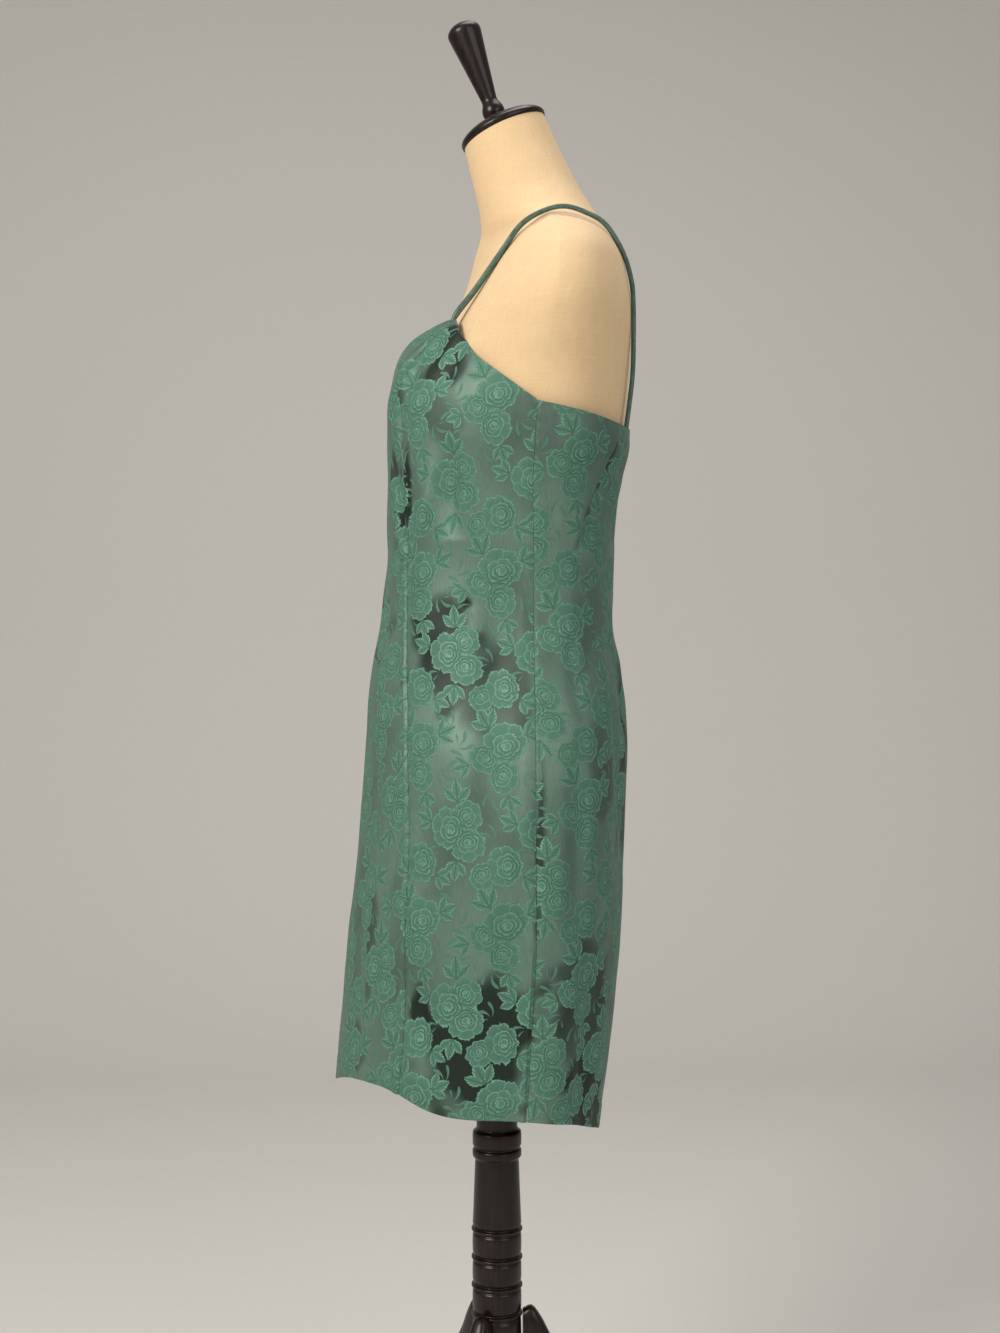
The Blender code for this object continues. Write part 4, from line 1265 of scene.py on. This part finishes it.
# The pole's radii, the depth of the grooves beside its rings, and the rings' heights.
stand = {
    "pole": 0.0205,
    "hub": 0.0245,
    "ring": 0.0255,
    "groove": 0.0018,
    "rings": (0.333, 0.305, 0.277, 0.249),
}
poleProfile = [
    (0.0950, 0.0080), (0.0955, 0.0100), (0.1050, 0.0190), (0.1150, 0.0225), (0.1200, 0.0215),
    (0.1240, 0.0222), (0.1260, stand["hub"]),
]
for height in reversed(stand["rings"]):
    groove = stand["hub"] - stand["groove"]
    poleProfile += [
        (height - 0.0050, stand["hub"]), (height - 0.0032, groove), (height - 0.0020, groove),
        (height - 0.0012, stand["ring"]), (height + 0.0012, stand["ring"]),
        (height + 0.0020, groove), (height + 0.0032, groove), (height + 0.0050, stand["hub"]),
    ]
poleProfile += [
    (0.3450, 0.0240), (0.4000, 0.0220), (0.4035, 0.0215), (0.4050, 0.0238), (0.4065, 0.0245),
    (0.4115, 0.0245), (0.4130, 0.0238), (0.4140, 0.0225), (0.4152, 0.0225), (0.4165, 0.0240),
    (0.4180, stand["hub"]), (0.4300, stand["hub"]), (0.4315, 0.0225), (0.4330, stand["pole"]),
    (0.4400, stand["pole"]), (0.6300, stand["pole"]), (0.6397, stand["pole"]),
]
polePlace = Matrix.Translation((0, poleY, 0))
lathePiece("pole_turned", poleProfile, 72, polePlace, (1, 1), "stand_column", passes=2)

legRows = tableOf(
    "reach middle halfHeight halfWidth",
    (0.0258, 0.196, 0.056, 0.0100),
    (0.035, 0.194, 0.061, 0.0110),
    (0.044, 0.187, 0.057, 0.0115),
    (0.054, 0.178, 0.047, 0.0115),
    (0.078, 0.160, 0.033, 0.0115),
    (0.110, 0.133, 0.026, 0.0115),
    (0.145, 0.099, 0.022, 0.0115),
    (0.180, 0.065, 0.019, 0.0115),
    (0.210, 0.039, 0.018, 0.0120),
    (0.238, 0.0185, 0.019, 0.0135),
    (0.262, 0.013, 0.018, 0.0145),
    (0.278, 0.008, 0.012, 0.0115),
)
leg = {"rings": 90, "corners": 40, "roundness": 0.6, "tipStart": 0.270, "tip": 0.008, "grainTurn": 50}


def curvedLeg(name, heading, node):
    # superellipse sections, |cos|^p by |sin|^p, stood along the leg's reach; the sole is cut at
    # the floor and the toe closes in
    near, far = legRows["reach"][[0, -1]]
    reach = np.linspace(near, far, leg["rings"])
    middle, halfHeight, halfWidth = (
        readTable(legRows, "reach", name, reach) for name in ("middle", "halfHeight", "halfWidth")
    )
    close = np.sqrt(np.clip(1 - np.clip((reach - leg["tipStart"]) / leg["tip"], 0, 1) ** 2, 0.2, 1))
    turn = np.linspace(0, 2 * pi, leg["corners"], endpoint=False) + pi / leg["corners"]
    c, s = np.cos(turn), np.sin(turn)
    wide = np.sign(c) * np.abs(c) ** leg["roundness"]
    tall = np.sign(s) * np.abs(s) ** leg["roundness"]
    across = (halfWidth * close)[:, None] * wide[None, :]
    z = np.maximum(middle[:, None] + (halfHeight * close)[:, None] * tall[None, :], 0)
    flatX = np.repeat(reach[:, None], leg["corners"], 1)
    angle = radians(heading)
    x = flatX * cos(angle) - across * sin(angle)
    y = flatX * sin(angle) + across * cos(angle)
    points, faces = closedTube(np.stack([x, y + poleY, z], -1))
    around = np.repeat(turn[None, :], leg["rings"], 0) * wood["mapRadius"]
    legWood = stainedBeech("darkStainedBeech_" + name, (0, radians(leg["grainTurn"]), -angle))
    return addPiece(name, points, faces, [legWood], tubeMap(around, flatX), node)


for name, heading in (("back", 90), ("front_left", -30), ("front_right", -150)):
    curvedLeg("foot_" + name, heading, "leg_" + name)
print("form and stand made")


# The lights' rows: name, place, target, size, watts and colour.
studio = {
    "floor": "#D9D6D0",
    "floorDark": "#D5D2CC",
    "world": "#F2F4F7",
    "worldStrength": 0.33,
    "lights": (
        ("windowLight", (1.9, -1.9, 2.2), (0, 0, 1.0), 1.3, 76, "#FFF8EE"),
        ("roomFill", (2.4, 1.6, 1.9), (0, 0, 0.9), 2.0, 27, "#FFF8EE"),
        ("ceilingLight", (-0.2, 0.2, 3.2), (0, 0, 1.0), 1.4, 27, "#FFFFFF"),
    ),
}


def sweptBackdrop():
    # floor that curves up into a wall: a quarter circle joins the two straight runs
    bend = np.linspace(0, pi / 2, 24)
    run = np.concatenate([[3.0], -2.0 - 1.2 * np.sin(bend), [-3.2]])
    rise = np.concatenate([[0.0], 1.2 - 1.2 * np.cos(bend), [6.0]])
    width = np.array([-7.0, 7.0])
    points = np.stack([np.repeat(run, 2), np.tile(width, len(run)), np.repeat(rise, 2)], -1)
    mesh = bpy.data.meshes.new("backdrop")
    mesh.from_pydata(points.tolist(), [], gridQuads(len(run), 2)[:, ::-1].tolist())
    mesh.shade_smooth()
    material, tree = newMaterial("paintedStudioPaper")
    grain = noise(tree, addNode(tree, "TexCoord").outputs["Object"], 60.0, 3.0)
    colour = mixed(tree, grain, srgb(studio["floorDark"]), srgb(studio["floor"]))
    mesh.materials.append(finished(material, tree, Base_Color=colour, Roughness=0.9))
    backdrop = bpy.data.objects.new("backdrop", mesh)
    bpy.context.scene.collection.objects.link(backdrop)


def addLight(name, place, target, size, power, colour):
    # a square soft light that looks at its target
    data = bpy.data.lights.new(name, "AREA")
    data.shape = "SQUARE"
    data.size = size
    data.energy = power
    data.color = srgb(colour)[:3]
    lamp = bpy.data.objects.new(name, data)
    lamp.location = place
    lamp.rotation_euler = (Vector(target) - Vector(place)).to_track_quat("-Z", "Y").to_euler()
    bpy.context.scene.collection.objects.link(lamp)


sweptBackdrop()
for light in studio["lights"]:
    addLight(*light)
bpy.context.scene.view_settings.view_transform = "Standard"
world = bpy.data.worlds.new("studioAir")
world.use_nodes = True
world.node_tree.nodes["Background"].inputs["Color"].default_value = srgb(studio["world"])
world.node_tree.nodes["Background"].inputs["Strength"].default_value = studio["worldStrength"]
bpy.context.scene.world = world

# The photo's camera: level, 1700 pixels long in focus on a picture whose longer side is 1333 pixels.
view = {
    "distance": 1.7,
    "turn": radians(-2),
    "centre": (0, poleY + 0.003, 0.894),
    "pixelLength": 1700,
    "longSide": 1333,
    "sensor": 36,
}
cameraData = bpy.data.cameras.new("photoCamera")
cameraData.sensor_width = view["sensor"]
cameraData.lens = view["sensor"] * view["pixelLength"] / view["longSide"]
camera = bpy.data.objects.new("photoCamera", cameraData)
centre = Vector(view["centre"])
camera.location = centre + view["distance"] * Vector((cos(view["turn"]), sin(view["turn"]), 0))
camera.rotation_euler = (centre - camera.location).to_track_quat("-Z", "Y").to_euler()
bpy.context.scene.collection.objects.link(camera)
bpy.context.scene.camera = camera
print("studio set")
